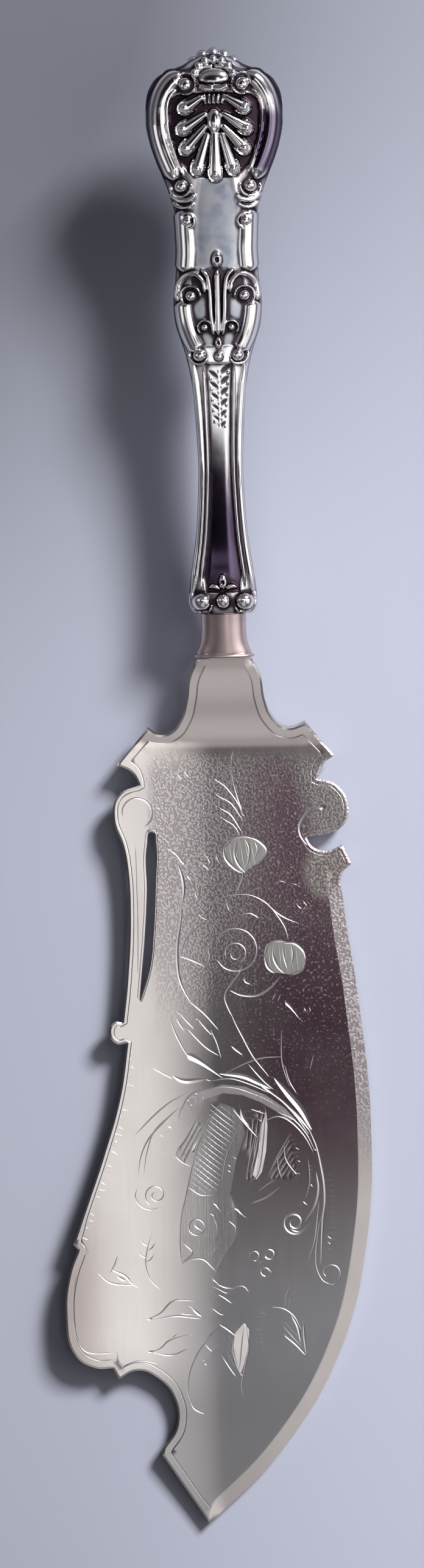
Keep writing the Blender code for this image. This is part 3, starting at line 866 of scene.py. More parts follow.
ARCH = (
    Cut(((380, 1768), (418, 1778), (450, 1798), (474, 1818), (494, 1838), (511, 1860)), 0.9, Taper.START),
    Cut(((505, 1850), (520, 1883), (528, 1916), (533, 1945), (534, 1975), (530, 2010), (527, 2078)), 1.0),
    Cut(((450, 1771), (472, 1796), (495, 1824), (512, 1856)), 2.1),
    Cut(((430, 1786), (461, 1807), (485, 1832), (507, 1863)), 0.5),
    Cut(((468, 1752), (475, 1775), (486, 1795)), 0.4),
    Cut(((429, 1844), (456, 1834), (478, 1843), (500, 1866), (514, 1892)), 0.5),
    Cut(((458, 1828), (481, 1838), (503, 1862), (516, 1888)), 0.4),
    Cut(((303, 1797), (277, 1812), (252, 1833), (222, 1864)), 0.5),
    Cut(((294, 1819), (263, 1849), (243, 1872), (231, 1900), (227, 1929)), 0.5),
    Cut(((288, 1824), (254, 1857), (241, 1893), (236, 1929)), 0.4),
    Cut(((334, 1786), (311, 1800), (298, 1820), (292, 1838)), 0.45),
    Cut(((345, 1776), (378, 1772), (410, 1781), (441, 1795)), 0.4),
    Cut(((333, 1796), (359, 1786), (390, 1788), (420, 1799)), 0.35),
    Cut(((519, 1925), (524, 1952), (518, 1981), (500, 2008)), 1.1),
    Cut(((506, 1905), (509, 1938), (503, 1967)), 0.3),
    Cut(((524, 1973), (518, 2033), (507, 2068)), 0.6),
    Cut(((530, 1990), (523, 2020), (519, 2060), (521, 2085), (531, 2104), (547, 2111)), 0.45),
    Cut(ring(543, 2091, 19, 90.0, -0.85, 10.0), 0.45, Taper.NONE),
    Cut(ring(484, 2008, 20, 30.0, 1.6, 5.0), 0.85, Taper.NONE),
    Cut(((478, 2020), (494, 2023), (510, 2010)), 0.9),
    Cut(ring(256, 1963, 19, 120.0, 1.35, 5.0), 0.4, Taper.NONE),
    Cut(((262, 1983), (246, 1987), (230, 1980), (222, 1966), (225, 1952)), 0.45),
)
FISH_BODY = (
    (345, 1812), (366, 1818), (385, 1830), (387, 1852), (368, 1898),
    (359, 1952), (335, 1962), (314, 1953), (320, 1908), (338, 1866),
)
FISH_BACK = (
    (361, 1812), (343, 1840), (325, 1880), (313, 1925), (304, 1968), (297, 2000), (295, 2040), (297, 2074),
)
FISH = (
    Cut(FISH_BACK, 0.45, Taper.NONE),
    Cut(((396, 1842), (383, 1872), (371, 1903), (363, 1948)), 0.4),
    Cut(((323, 1838), (315, 1853), (304, 1873), (293, 1887), (288, 1899)), 0.6),
    Cut(((288, 1899), (296, 1906), (303, 1912)), 0.5),
    Cut(((311, 1952), (330, 1963), (350, 1962), (361, 1953)), 0.4),
    Cut(ring(323, 2016, 13, 0.0, 1.0), 0.4, Taper.NONE),
    Cut(((319, 2012), (328, 2020)), 0.8),
    Cut(((344, 1983), (352, 1977), (359, 1986)), 0.6),
    Cut(((372, 1996), (386, 1985), (398, 1996)), 0.8),
    Cut(((376, 2006), (387, 2016), (384, 2031)), 0.4),
    Cut(((351, 1998), (357, 2020), (352, 2040)), 0.3),
    Cut(((303, 2044), (316, 2058), (299, 2075)), 0.5),
    Cut(((388, 2022), (364, 2043), (345, 2068)), 0.5),
    Cut(((392, 2030), (372, 2056), (356, 2084)), 0.4),
    Cut(((298, 2077), (312, 2069), (334, 2069), (352, 2086)), 0.55),
    Cut(((436, 1822), (431, 1880), (424, 1927), (410, 1942)), 0.6),
    Cut(((424, 1862), (419, 1897), (411, 1926)), 0.5),
    Cut(((419, 1862), (411, 1900), (404, 1934)), 0.35),
    Cut(((477, 1862), (460, 1892), (440, 1933)), 0.45),
    Cut(((466, 1880), (470, 1905), (487, 1930)), 0.4),
    Cut(((455, 1902), (458, 1920), (462, 1935)), 0.35),
    Cut(((412, 1977), (437, 1967), (460, 1950)), 0.6),
    Cut(((424, 1957), (440, 1945), (452, 1938)), 0.45),
    Cut(((383, 1823), (405, 1848), (422, 1868)), 0.6),
    Cut(((395, 1822), (400, 1838), (409, 1850)), 1.4),
    Cut(((412, 1822), (436, 1830)), 0.3),
    Cut(((248, 2021), (248, 2026)), 1.3, Taper.NONE),
    Cut(((248, 2030), (242, 2050), (239, 2076), (246, 2100), (262, 2118)), 0.4),
    Cut(((243, 2047), (236, 2043), (231, 2035)), 0.4),
    Cut(((242, 2054), (249, 2050), (254, 2042)), 0.4),
    Cut(((240, 2066), (233, 2063), (228, 2055)), 0.4),
    Cut(((239, 2073), (247, 2069), (252, 2061)), 0.4),
)
FISH_SCALES = (*hatch(FISH_BODY, 38.0, 7.5, 0.36, 0.3), *hatch(FISH_BODY, -48.0, 7.5, 0.3, 0.26))
FIN_LINES = (
    *hatch(((404, 1850), (432, 1826), (424, 1925), (406, 1940)), 96.0, 7.0, 0.2),
    *hatch(((440, 1935), (474, 1870), (486, 1930)), 122.0, 7.0, 0.2),
    *hatch(((293, 1888), (322, 1842), (336, 1866), (303, 1908)), 118.0, 7.0, 0.2),
)
PRICKED_LINES = (
    *dotted(((312, 1821), (334, 1801), (367, 1790), (403, 1793), (444, 1810), (478, 1838)), 6.5, 0.55),
    *dotted(((276, 1833), (302, 1814), (334, 1792), (352, 1784)), 6.0, 0.35),
    *dotted(((398, 1827), (411, 1825), (425, 1825)), 6.0, 0.5),
    *dotted(((404, 1836), (424, 1839)), 6.0, 0.45),
    *dotted(((392, 1868), (383, 1896), (378, 1925)), 9.0, 0.4),
    *dotted(((292, 1830), (276, 1851), (266, 1873), (262, 1892)), 9.0),
    *dotted(((478, 1866), (486, 1890), (489, 1914), (486, 1934)), 7.0, 0.6),
    *dotted(((510, 1915), (510, 1940), (503, 1962), (494, 1980)), 6.0, 0.6),
    *dotted(((218, 1722), (205, 1806), (189, 1872), (169, 1932), (149, 1991), (135, 2032)), 6.0, 0.3),
    *dotted(((541, 1930), (546, 1975), (545, 2020), (541, 2060)), 9.0, 0.6),
)
SPRAYS = (
    Cut(((162, 2092), (183, 2107), (219, 2111)), 0.6),
    Cut(((184, 2086), (205, 2095), (218, 2110)), 0.7),
    Cut(((193, 2062), (188, 2077), (181, 2090)), 0.4),
    Cut(((192, 2096), (207, 2104)), 0.9),
    Cut(ring(418, 2063, 8, 180.0, 0.8), 0.6, Taper.NONE),
    Cut(ring(443, 2060, 8, 250.0, 0.8), 0.7, Taper.NONE),
    Cut(ring(436, 2089, 7, 60.0, 0.8), 0.6, Taper.NONE),
    Cut(((424, 2075), (431, 2071)), 0.5),
    Cut(((428, 2103), (422, 2112)), 0.4),
    Cut(((349, 2100), (354, 2106)), 0.6),
    Cut(((359, 2111), (371, 2115), (384, 2116)), 0.7),
    Cut(((357, 2117), (373, 2124), (387, 2114), (400, 2113), (408, 2122)), 0.45),
    Cut(((359, 2127), (370, 2133), (380, 2141)), 0.5),
    Cut(((242, 2167), (263, 2157), (285, 2137), (321, 2137)), 0.55),
    Cut(((252, 2168), (290, 2162), (331, 2167)), 0.6),
    Cut(((316, 2150), (331, 2163)), 0.9),
    Cut(((296, 2158), (320, 2160)), 0.4),
    Cut(((246, 2221), (263, 2215), (278, 2202), (311, 2192)), 0.5),
    Cut(((256, 2223), (283, 2226), (309, 2215)), 0.55),
    Cut(((283, 2197), (290, 2192)), 0.4),
    Cut(((386, 2190), (382, 2214), (388, 2240), (395, 2258)), 0.4),
    Cut(((404, 2178), (408, 2215), (402, 2247), (397, 2273), (398, 2291)), 0.5),
    Cut(((362, 2177), (374, 2184), (386, 2194)), 0.6),
    Cut(((400, 2182), (396, 2213), (393, 2250)), 0.45),
    *hatch(((366, 2192), (382, 2200), (385, 2250), (372, 2226)), 62.0, 7.0, 0.25, 0.3),
    *hatch(((464, 2172), (480, 2176), (496, 2216), (468, 2196)), 48.0, 6.5, 0.25, 0.3),
    Cut(((242, 2167), (251, 2166)), 0.8),
    Cut(((243, 2221), (254, 2219)), 0.8),
    *dotted(((334, 2240), (344, 2226), (356, 2212)), 5.0, 0.4),
    Cut(((366, 2230), (387, 2261)), 0.5),
    Cut(((467, 2194), (486, 2209), (501, 2226)), 0.6),
    Cut(((498, 2172), (500, 2200), (503, 2225)), 0.7),
    Cut(((483, 2102), (472, 2123), (468, 2145)), 0.4),
    Cut(((447, 2147), (467, 2150), (484, 2163), (494, 2184)), 0.45),
    Cut(((474, 2150), (478, 2134), (483, 2128)), 0.4),
    Cut(((478, 2160), (489, 2180), (494, 2206)), 0.9),
    *dotted(((429, 2150), (428, 2190), (434, 2226)), 7.0, 0.35),
    Cut(((345, 2196), (326, 2220), (312, 2252), (308, 2283), (314, 2306)), 0.45),
    Cut(((312, 2300), (319, 2314), (335, 2323)), 0.45),
    Cut(((337, 2208), (345, 2218)), 0.35),
    Cut(((349, 2150), (366, 2160), (380, 2150)), 0.35),
    Cut(((338, 2200), (352, 2186), (362, 2178)), 0.4),
)
LUG_SCROLLS = (
    Cut(ring(224, 1336, 26, 60.0, -0.72, 24.0), 0.5, Taper.NONE),
    Cut(((516, 1322), (501, 1338), (492, 1356), (494, 1373), (504, 1388)), 1.0, steepness=0.5),
    Cut(((527, 1322), (533, 1332)), 2.2, Taper.NONE, steepness=0.8),
    Cut(((222, 1392), (224, 1450), (226, 1520), (226, 1600)), 0.35, Taper.NONE),
)
BULGE_LINE = (
    Cut(((125, 2094), (121, 2130), (121, 2170), (133, 2210), (152, 2222), (192, 2221)), 0.35, Taper.NONE),
    Cut(((192, 2221), (195, 2236), (204, 2245)), 0.35),
    Cut(((207, 2240), (232, 2235), (258, 2240)), 0.35),
)
ENGRAVING = (
    *TOP_SPRAY,
    *UPPER_BUD,
    *LEFT_LEAFLETS,
    *MIDDLE_SCROLL,
    *LOWER_BUD,
    *STEM,
    *LEAF_CLUSTER,
    *ARCH,
    *FISH,
    *FISH_SCALES,
    *FIN_LINES,
    *PRICKED_LINES,
    *SPRAYS,
    *LUG_SCROLLS,
    *BULGE_LINE,
)
# Patches of ground with a finish of their own
FIN_OUTLINE = (
    (437, 1826), (439, 1850), (437, 1890), (430, 1925), (421, 1938), (415, 1930), (424, 1890), (429, 1850),
)
LEAF_OUTLINE = (
    (400, 2174), (409, 2184), (408, 2212), (401, 2240), (395, 2257), (388, 2240), (383, 2212), (386, 2190),
)
ARCH_OUTLINE = (
    (306, 1813), (330, 1793), (365, 1782), (402, 1785), (436, 1799), (466, 1819), (486, 1840),
    (474, 1840), (454, 1826), (428, 1811), (398, 1799), (366, 1796), (336, 1806), (314, 1825),
)
FISH_OUTLINE = (
    (362, 1812), (343, 1840), (325, 1880), (313, 1925), (304, 1968), (297, 2000), (295, 2040),
    (298, 2074), (314, 2067), (336, 2068), (352, 2084), (374, 2054), (390, 2028), (388, 1990),
    (378, 1960), (388, 1905), (402, 1862), (396, 1836), (384, 1820),
)
BACK_FIN_OUTLINE = (
    (322, 1838), (312, 1858), (300, 1880), (288, 1899), (303, 1912), (318, 1878), (335, 1848),
)
FROSTED_PATCHES = (UPPER_BUD_OUTLINE, LOWER_BUD_OUTLINE)
PRICKED_PATCHES = (ARCH_OUTLINE,)
PALE_PATCHES = (FIN_OUTLINE, LEAF_OUTLINE)
SHADED_PATCHES = (FISH_OUTLINE, BACK_FIN_OUTLINE)


class Metal(Enum):
    """The blade's finishes, in the order of its material numbers."""

    FIELD = 0
    BEVEL = 1
    CUT = 2
    FROST = 3
    SHADED = 4
    PALE = 5
    PRICKED = 6


def bezier_loop(anchors: Sequence[tuple[str, float, float]], steps: int) -> np.ndarray:
    """Reads a closed outline.

    Args:
        anchors: Smooth and corner anchors, as kind, x and y.
        steps: How many points are read for each anchor.

    Returns:
        The outline's points, in the anchors' units.
    """
    curve = bpy.data.curves.new("outline", "CURVE")
    curve.dimensions = "2D"
    curve.fill_mode = "NONE"
    spline = curve.splines.new("BEZIER")
    spline.bezier_points.add(len(anchors) - 1)
    for point, (kind, x, y) in zip(spline.bezier_points, anchors):
        point.co = (x, y, 0.0)
        point.handle_left_type = point.handle_right_type = "AUTO" if kind == "smooth" else "VECTOR"
    spline.use_cyclic_u = True
    spline.resolution_u = steps
    guide = bpy.data.objects.new("outline", curve)
    bpy.context.scene.collection.objects.link(guide)
    mesh = bpy.data.meshes.new_from_object(guide.evaluated_get(bpy.context.evaluated_depsgraph_get()))
    points = np.array([vert.co[:2] for vert in mesh.vertices])
    bpy.data.objects.remove(guide)
    bpy.data.curves.remove(curve)
    bpy.data.meshes.remove(mesh)
    kept = np.hypot(*(points - np.roll(points, 1, axis=0)).T) > 1e-3
    return points[kept]


def divided(loop: np.ndarray, longest: float) -> np.ndarray:
    """Divides a closed loop's long steps evenly.

    Args:
        loop: The loop's points.
        longest: The longest step that stays.

    Returns:
        The points of the divided loop.
    """
    runs = []
    for start, end in zip(loop, np.roll(loop, -1, axis=0)):
        count = math.ceil(float(np.hypot(*(end - start))) / longest)
        runs.append(start + (end - start) * np.arange(count)[:, None] / count)
    return np.vstack(runs)


def soft_step(value: np.ndarray, low: float, high: float) -> np.ndarray:
    """A smooth step.

    Args:
        value: What is stepped.
        low: Where the step starts.
        high: Where the step ends.

    Returns:
        The step at each value, from 0 to 1.
    """
    t = np.clip((value - low) / (high - low), 0.0, 1.0)
    return t * t * (3 - 2 * t)


# The blade's edge and its piercing, in millimetres from the lip
BLADE_OUTLINE = (
    ("corner", -5.6, -0.3), ("corner", -3.0, -0.3), ("corner", -3.0, 4.5), ("corner", 3.0, 4.5),
    ("corner", 3.0, -0.3), ("corner", 5.6, -0.3), ("smooth", 7.3, -3.6), ("smooth", 8.1, -8.4),
    ("smooth", 9.6, -12.2), ("smooth", 12.4, -14.5), ("corner", 16.3, -13.6),
    ("corner", 22.2, -20.5), ("smooth", 19.9, -22.3), ("corner", 18.6, -25.2),
    ("smooth", 22.4, -26.5), ("smooth", 24.9, -30.8), ("smooth", 23.5, -35.2),
    ("corner", 16.2, -37.3), ("smooth", 17.4, -39.2), ("smooth", 20.4, -40.1),
    ("corner", 23.5, -38.9), ("corner", 25.3, -42.8), ("smooth", 23.3, -45.0),
    ("smooth", 23.5, -50.5), ("smooth", 26.2, -70.5), ("smooth", 28.3, -95.5),
    ("smooth", 27.0, -120.5), ("smooth", 21.1, -143.0), ("smooth", 9.0, -162.8),
    ("corner", -6.3, -177.8), ("corner", -15.8, -163.4), ("corner", -15.4, -162.0),
    ("smooth", -12.7, -157.6), ("smooth", -13.4, -151.2), ("smooth", -16.6, -147.5),
    ("smooth", -20.4, -146.0), ("corner", -24.3, -147.7), ("corner", -25.5, -145.4),
    ("smooth", -29.0, -145.3), ("smooth", -33.2, -142.6), ("smooth", -35.0, -134.0),
    ("smooth", -34.0, -125.6), ("corner", -32.2, -120.9), ("corner", -33.2, -119.8),
    ("smooth", -30.4, -111.9), ("smooth", -26.9, -102.0), ("smooth", -23.2, -89.5),
    ("corner", -21.5, -78.8), ("smooth", -23.6, -78.9), ("smooth", -25.0, -76.7),
    ("smooth", -24.0, -74.5), ("corner", -22.3, -74.5), ("smooth", -21.3, -66.0),
    ("smooth", -20.5, -52.0), ("smooth", -20.9, -42.5), ("smooth", -21.6, -38.4),
    ("smooth", -23.4, -32.5), ("smooth", -22.3, -28.0), ("corner", -17.9, -25.9),
    ("smooth", -19.5, -23.2), ("corner", -22.4, -21.7), ("corner", -16.1, -14.2),
    ("smooth", -14.1, -15.4), ("smooth", -11.3, -15.0), ("smooth", -9.1, -12.2),
    ("smooth", -8.0, -8.4), ("smooth", -7.2, -3.6),
)
BLADE_SLOT = (
    ("smooth", -15.6, -35.6), ("smooth", -15.0, -37.8), ("smooth", -15.2, -46.0),
    ("smooth", -15.8, -56.0), ("smooth", -16.7, -63.5), ("corner", -18.7, -70.0),
    ("smooth", -18.2, -65.0), ("smooth", -17.4, -57.0), ("smooth", -16.8, -48.0),
    ("smooth", -16.6, -38.4),
)


class Blanking:
    """Points and lines that a flat sheet's triangles have to keep, in millimetres from the lip."""

    def __init__(self) -> None:
        """Starts with nothing."""
        self.points: list[tuple[float, float]] = []
        self.lines: list[tuple[int, int]] = []

    def add(self, points: np.ndarray, closed: bool = False, longest: float = math.inf) -> None:
        """Adds a line.

        Args:
            points: The line's points.
            closed: Whether it comes back to its start.
            longest: The line is left open across any longer step.
        """
        first = len(self.points)
        self.points.extend(map(tuple, points))
        count = len(points)
        for i in range(count if closed else count - 1):
            j = (i + 1) % count
            if np.hypot(*(points[j] - points[i])) < longest:
                self.lines.append((first + i, first + j))

    def triangles(self) -> tuple[np.ndarray, list[list[int]]]:
        """Fills the sheet with triangles that keep every line.

        Returns:
            The points, and the triangles as lists of their numbers.
        """
        points = [Vector(point) for point in self.points]
        found = delaunay_2d_cdt(points, self.lines, [], 0, 1e-4)
        return np.array([tuple(point) for point in found[0]]), found[2]


@dataclass(frozen=True)
class Blade:
    """The pierced blade, cranked up to its tenon and curled up on its left. Sizes are in millimetres."""

    name: str = "engraved_blade"
    sheet: float = 1.5
    tongue: float = 2.4
    bend: float = 19.0
    rise: float = 7.0
    curl_start: float = -3.5
    curl_edge: float = -35.0
    curl_rise: float = 3.4
    curl_power: float = 1.5
    bevel_drop: float = 0.19
    bevel_width: float = 2.8
    edge_drop: float = 0.12
    edge_width: float = 0.4
    edge_step: float = 0.9
    curve_steps: int = 10
    border_width: float = 1.7
    bevel_start: tuple[float, float] = (-6.2, -46.0)
    least_bevel: float = 2.2
    pierced_border: float = 0.9
    pierced_side: float = 14.0
    pierced_span: tuple[float, float] = (-119.0, -25.0)
    tongue_border: float = 2.0
    tongue_end: float = -15.2
    slot_border: float = 0.5
    eased_points: int = 6
    rim_share: float = 0.65
    shoulder: float = -0.31
    line_half_width: float = 0.16
    line_depth: float = 0.042
    line_slack: float = 0.05
    cut_reach: float = 0.75
    least_cut: float = 0.004
    line_break: float = 1.6
    clearance: float = 0.45
    mesh_step: float = 1.25
    trim: float = 0.9998
    sharp: float = math.radians(11.0)
    cuts: Sequence[Cut] = ENGRAVING

    def crank(self, y: np.ndarray) -> tuple[np.ndarray, np.ndarray]:
        """How the middle plane rises to the handle.

        Args:
            y: Distances from the lip.

        Returns:
            The plane's height above the flat part, and its slope.
        """
        slope = math.tan(SETTING.tilt)
        t = np.clip(y / self.bend + 1.0, 0.0, 1.0)
        height = self.rise * (3 * t**2 - 2 * t**3) + self.bend * slope * (t**3 - t**2)
        steep = self.rise * (6 * t - 6 * t**2) / self.bend + slope * (3 * t**2 - 2 * t)
        return height + np.maximum(y, 0.0) * slope, steep

    def edge_widths(self, loop: np.ndarray) -> np.ndarray:
        """How wide the border is: broad on the right, narrow round the piercing.

        Args:
            loop: The outline's points.

        Returns:
            The border's width at each point.
        """
        x, y = loop.T
        left, top = self.bevel_start
        low, high = self.pierced_span
        width = np.full(len(loop), self.border_width)
        width[(x > left) & (y < top)] = self.bevel_width
        width[(x < -self.pierced_side) & (y < high) & (y > low)] = self.pierced_border
        width[(x > self.pierced_side) & (y > top) & (y < high)] = self.pierced_border
        width[y > self.tongue_end] = self.tongue_border
        reach = self.eased_points
        near = np.concatenate([width[-reach:], width, width[:reach]])
        count = 2 * reach + 1
        return np.convolve(near, np.full(count, 1 / count), "valid")

    def border(self, outline: np.ndarray, slot: np.ndarray) -> list[np.ndarray]:
        """Finds the lines along the border's fine groove, without points near another edge.

        Args:
            outline: The blade's edge.
            slot: The piercing's edge.

        Returns:
            The lines.
        """
        lines = []
        for loop in (outline, slot):
            along = np.roll(loop, -1, axis=0) - np.roll(loop, 1, axis=0)
            along /= np.hypot(*along.T)[:, None]
            across = np.column_stack([along[:, 1], -along[:, 0]])
            width = self.edge_widths(loop) if loop is outline else np.full(len(loop), self.slot_border)
            half, rim = self.line_half_width, np.full(len(loop), self.edge_width)
            for inset in (width, width - half, width + half, rim):
                for side in (-1.0, 1.0):
                    line = loop + across * (inset * side)[:, None]
                    held = inside(outline, line) & ~inside(slot, line)
                    far, _ = self.edge(outline, slot, line)
                    held &= np.abs(far - inset) < self.line_slack
                    lines.append(line[held])
        return [line for line in lines if len(line) > 2]

    def edge(
        self, outline: np.ndarray, slot: np.ndarray, points: np.ndarray
    ) -> tuple[np.ndarray, np.ndarray]:
        """Measures points from the nearest edge.

        Args:
            outline: The blade's edge.
            slot: The piercing's edge.
            points: The points to measure.

        Returns:
            Each point's distance, and how wide the border is there.
        """
        below = outline[:, 1] < self.shoulder
        loop, widths = outline[below], self.edge_widths(outline)[below]
        far, share = nearest(loop, points)
        width = np.interp(share * (len(loop) - 1), np.arange(len(loop)), widths)
        from_slot, _ = nearest(np.vstack([slot, slot[:1]]), points)
        return np.minimum(far, from_slot), np.where(from_slot < far, self.slot_border, width)

    def depth(self, points: np.ndarray) -> np.ndarray:
        """How deep the graver went.

        Args:
            points: Points of the plan.

        Returns:
            The depth at each point.
        """
        deepest = np.zeros(len(points))
        for cut in self.cuts:
            line = cut.line()
            low, high = line.min(axis=0) - cut.width, line.max(axis=0) + cut.width
            near = np.flatnonzero(np.all((points > low) & (points < high), axis=1))
            if len(near):
                far, share = nearest(line, points[near])
                half = np.interp(share, np.linspace(0, 1, len(line)), cut.half_widths(len(line)))
                depth = cut.steepness * np.minimum(np.maximum(half - far, 0.0), self.cut_reach)
                deepest[near] = np.maximum(deepest[near], depth)
        return deepest

    def lay_out(self, outline: np.ndarray, slot: np.ndarray) -> Blanking:
        """Lays out what the flat sheet's triangles keep.

        Args:
            outline: The blade's edge.
            slot: The piercing's edge.

        Returns:
            The points and lines.
        """
        blank = Blanking()
        blank.add(outline, closed=True)
        blank.add(slot, closed=True)
        for line in self.border(outline, slot):
            blank.add(line, longest=self.line_break)
        busy = [outline, slot]
        for cut in self.cuts:
            line = cut.line()
            half = cut.half_widths(len(line))[:, None]
            along = np.gradient(line, axis=0)
            along /= np.maximum(np.hypot(*along.T), 1e-9)[:, None]
            across = np.column_stack([-along[:, 1], along[:, 0]])
            edges = [line, line + across * half, line - across * half]
            if half.max() > self.cut_reach:
                floor = np.maximum(half - self.cut_reach, 0.0)
                edges += [line + across * floor, line - across * floor]
            for edge in edges:
                blank.add(edge)
            busy.append(line)
        for patch in (*FROSTED_PATCHES, *SHADED_PATCHES, *PALE_PATCHES, *PRICKED_PATCHES):
            blank.add(SHEET.plan(patch), closed=True)
        low, high = outline.min(axis=0), outline.max(axis=0)
        across = np.arange(low[0], high[0], self.mesh_step)
        down = np.arange(low[1], high[1], self.mesh_step)
        grid = np.stack(np.meshgrid(across, down), axis=-1).reshape(-1, 2)
        grid = grid[inside(outline, grid) & ~inside(slot, grid)]
        for line in busy:
            far, _ = nearest(line, grid)
            grid = grid[far > self.clearance]
        blank.points.extend(map(tuple, grid))
        return blank

    def formed(self, points: np.ndarray, offset: np.ndarray) -> np.ndarray:
        """Cranks and curls the flat sheet.

        Args:
            points: Points of the plan.
            offset: How far each lies above the middle plane.

        Returns:
            The points in space, in metres.
        """
        x, y = points.T
        height, slope = self.crank(y)
        angle = np.arctan(slope)
        t = np.clip((x - self.curl_start) / (self.curl_edge - self.curl_start), 0.0, 1.0)
        curl = t**self.curl_power * self.curl_rise
        z = self.sheet / 2 + height + offset * np.cos(angle) + curl
        return np.column_stack([x * self.trim, y - offset * np.sin(angle) + SETTING.lip / MM, z]) * MM

    def offsets(
        self, points: np.ndarray, outline: np.ndarray, slot: np.ndarray
    ) -> tuple[np.ndarray, np.ndarray]:
        """Where the engraved face and the underside lie.

        Args:
            points: Points of the plan.
            outline: The blade's edge.
            slot: The piercing's edge.

        Returns:
            How far the upper and the lower face lie above the middle plane.
        """
        y = points[:, 1]
        edge, bevel = self.edge(outline, slot, points)
        swell = soft_step(y, -self.bend, -self.bend / 3)
        rim = self.rim_share + (1.0 - self.rim_share) * np.clip(edge / bevel, 0.0, 1.0)
        on_tongue = np.where(y > self.shoulder, 1.0, rim)
        half = (self.sheet + (self.tongue - self.sheet) * swell * on_tongue) / 2
        bevelled = soft_step(bevel, self.tongue_border, self.bevel_width)
        drop = bevelled * self.bevel_drop * np.clip(1 - edge / bevel, 0.0, 1.0)
        softened = np.clip(1 - edge / self.edge_width, 0.0, 1.0) * (y < -1.0)
        drop += (1 - bevelled) * self.edge_drop * softened
        fine_line = self.line_depth * np.clip(1 - np.abs(edge - bevel) / self.line_half_width, 0.0, 1.0)
        fine_line *= (y < self.shoulder) * (1 - bevelled)
        return half - drop - np.maximum(self.depth(points), fine_line), -half

    def build(self) -> bpy.types.Object:
        """Makes the blade: the sheet is blanked, drawn up to its thickness, engraved and formed.

        Returns:
            The finished piece.
        """
        outline = divided(bezier_loop(BLADE_OUTLINE, self.curve_steps), self.edge_step)
        slot = divided(bezier_loop(BLADE_SLOT, self.curve_steps), self.edge_step)
        points, faces = self.lay_out(outline, slot).triangles()
        middles = np.array([points[face].mean(axis=0) for face in faces])
        kept = inside(outline, middles) & ~inside(slot, middles)
        upper, lower = self.offsets(points, outline, slot)
        tones = self.tones(middles, outline, slot)
        bm = bmesh.new()
        index = bm.verts.layers.int.new("place")
        verts = [bm.verts.new((*point, 0.0)) for point in points]
        for number, vert in enumerate(verts):
            vert[index] = number
        for face, keep, tone in zip(faces, kept, tones):
            if keep:
                bm.faces.new([verts[i] for i in face]).material_index = int(tone)
        bmesh.ops.delete(bm, geom=[vert for vert in bm.verts if not vert.link_faces], context="VERTS")
        made = bmesh.ops.extrude_face_region(bm, geom=bm.faces[:])["geom"]
        raised = {item for item in made if isinstance(item, bmesh.types.BMVert)}
        tops, bottoms = self.formed(points, upper), self.formed(points, lower)
        for vert in bm.verts:
            vert.co = (tops if vert in raised else bottoms)[vert[index]]
        for face in bm.faces:
            if not all(vert in raised for vert in face.verts):
                face.material_index = Metal.BEVEL.value if any(vert in raised for vert in face.verts) else 0
        bm.verts.layers.int.remove(index)
        bmesh.ops.recalc_face_normals(bm, faces=bm.faces[:])
        finishes = (FIELD, BEVEL, BRIGHT_CUT, FROST, SHADED, PALE, PRICKED)
        piece = piece_from(bm, self.name, "blade", finishes)
        piece.data.shade_smooth()
        piece.data.set_sharp_from_angle(angle=self.sharp)
        return piece

    def tones(self, middles: np.ndarray, outline: np.ndarray, slot: np.ndarray) -> np.ndarray:
        """Chooses each face's finish.

        Args:
            middles: The middles of the faces.
            outline: The blade's edge.
            slot: The piercing's edge.

        Returns:
            The faces' material numbers.
        """
        tones = np.full(len(middles), Metal.FIELD.value)
        filled = (
            (FROSTED_PATCHES, Metal.FROST),
            (SHADED_PATCHES, Metal.SHADED),
            (PALE_PATCHES, Metal.PALE),
            (PRICKED_PATCHES, Metal.PRICKED),
        )
        for patches, metal in filled:
            for patch in patches:
                tones[inside(SHEET.plan(patch), middles)] = metal.value
        edge, bevel = self.edge(outline, slot, middles)
        bordered = (edge < bevel) & ((bevel > self.least_bevel) | (edge < self.edge_width))
        tones[bordered] = Metal.BEVEL.value
        tones[self.depth(middles) > self.least_cut] = Metal.CUT.value
        return tones


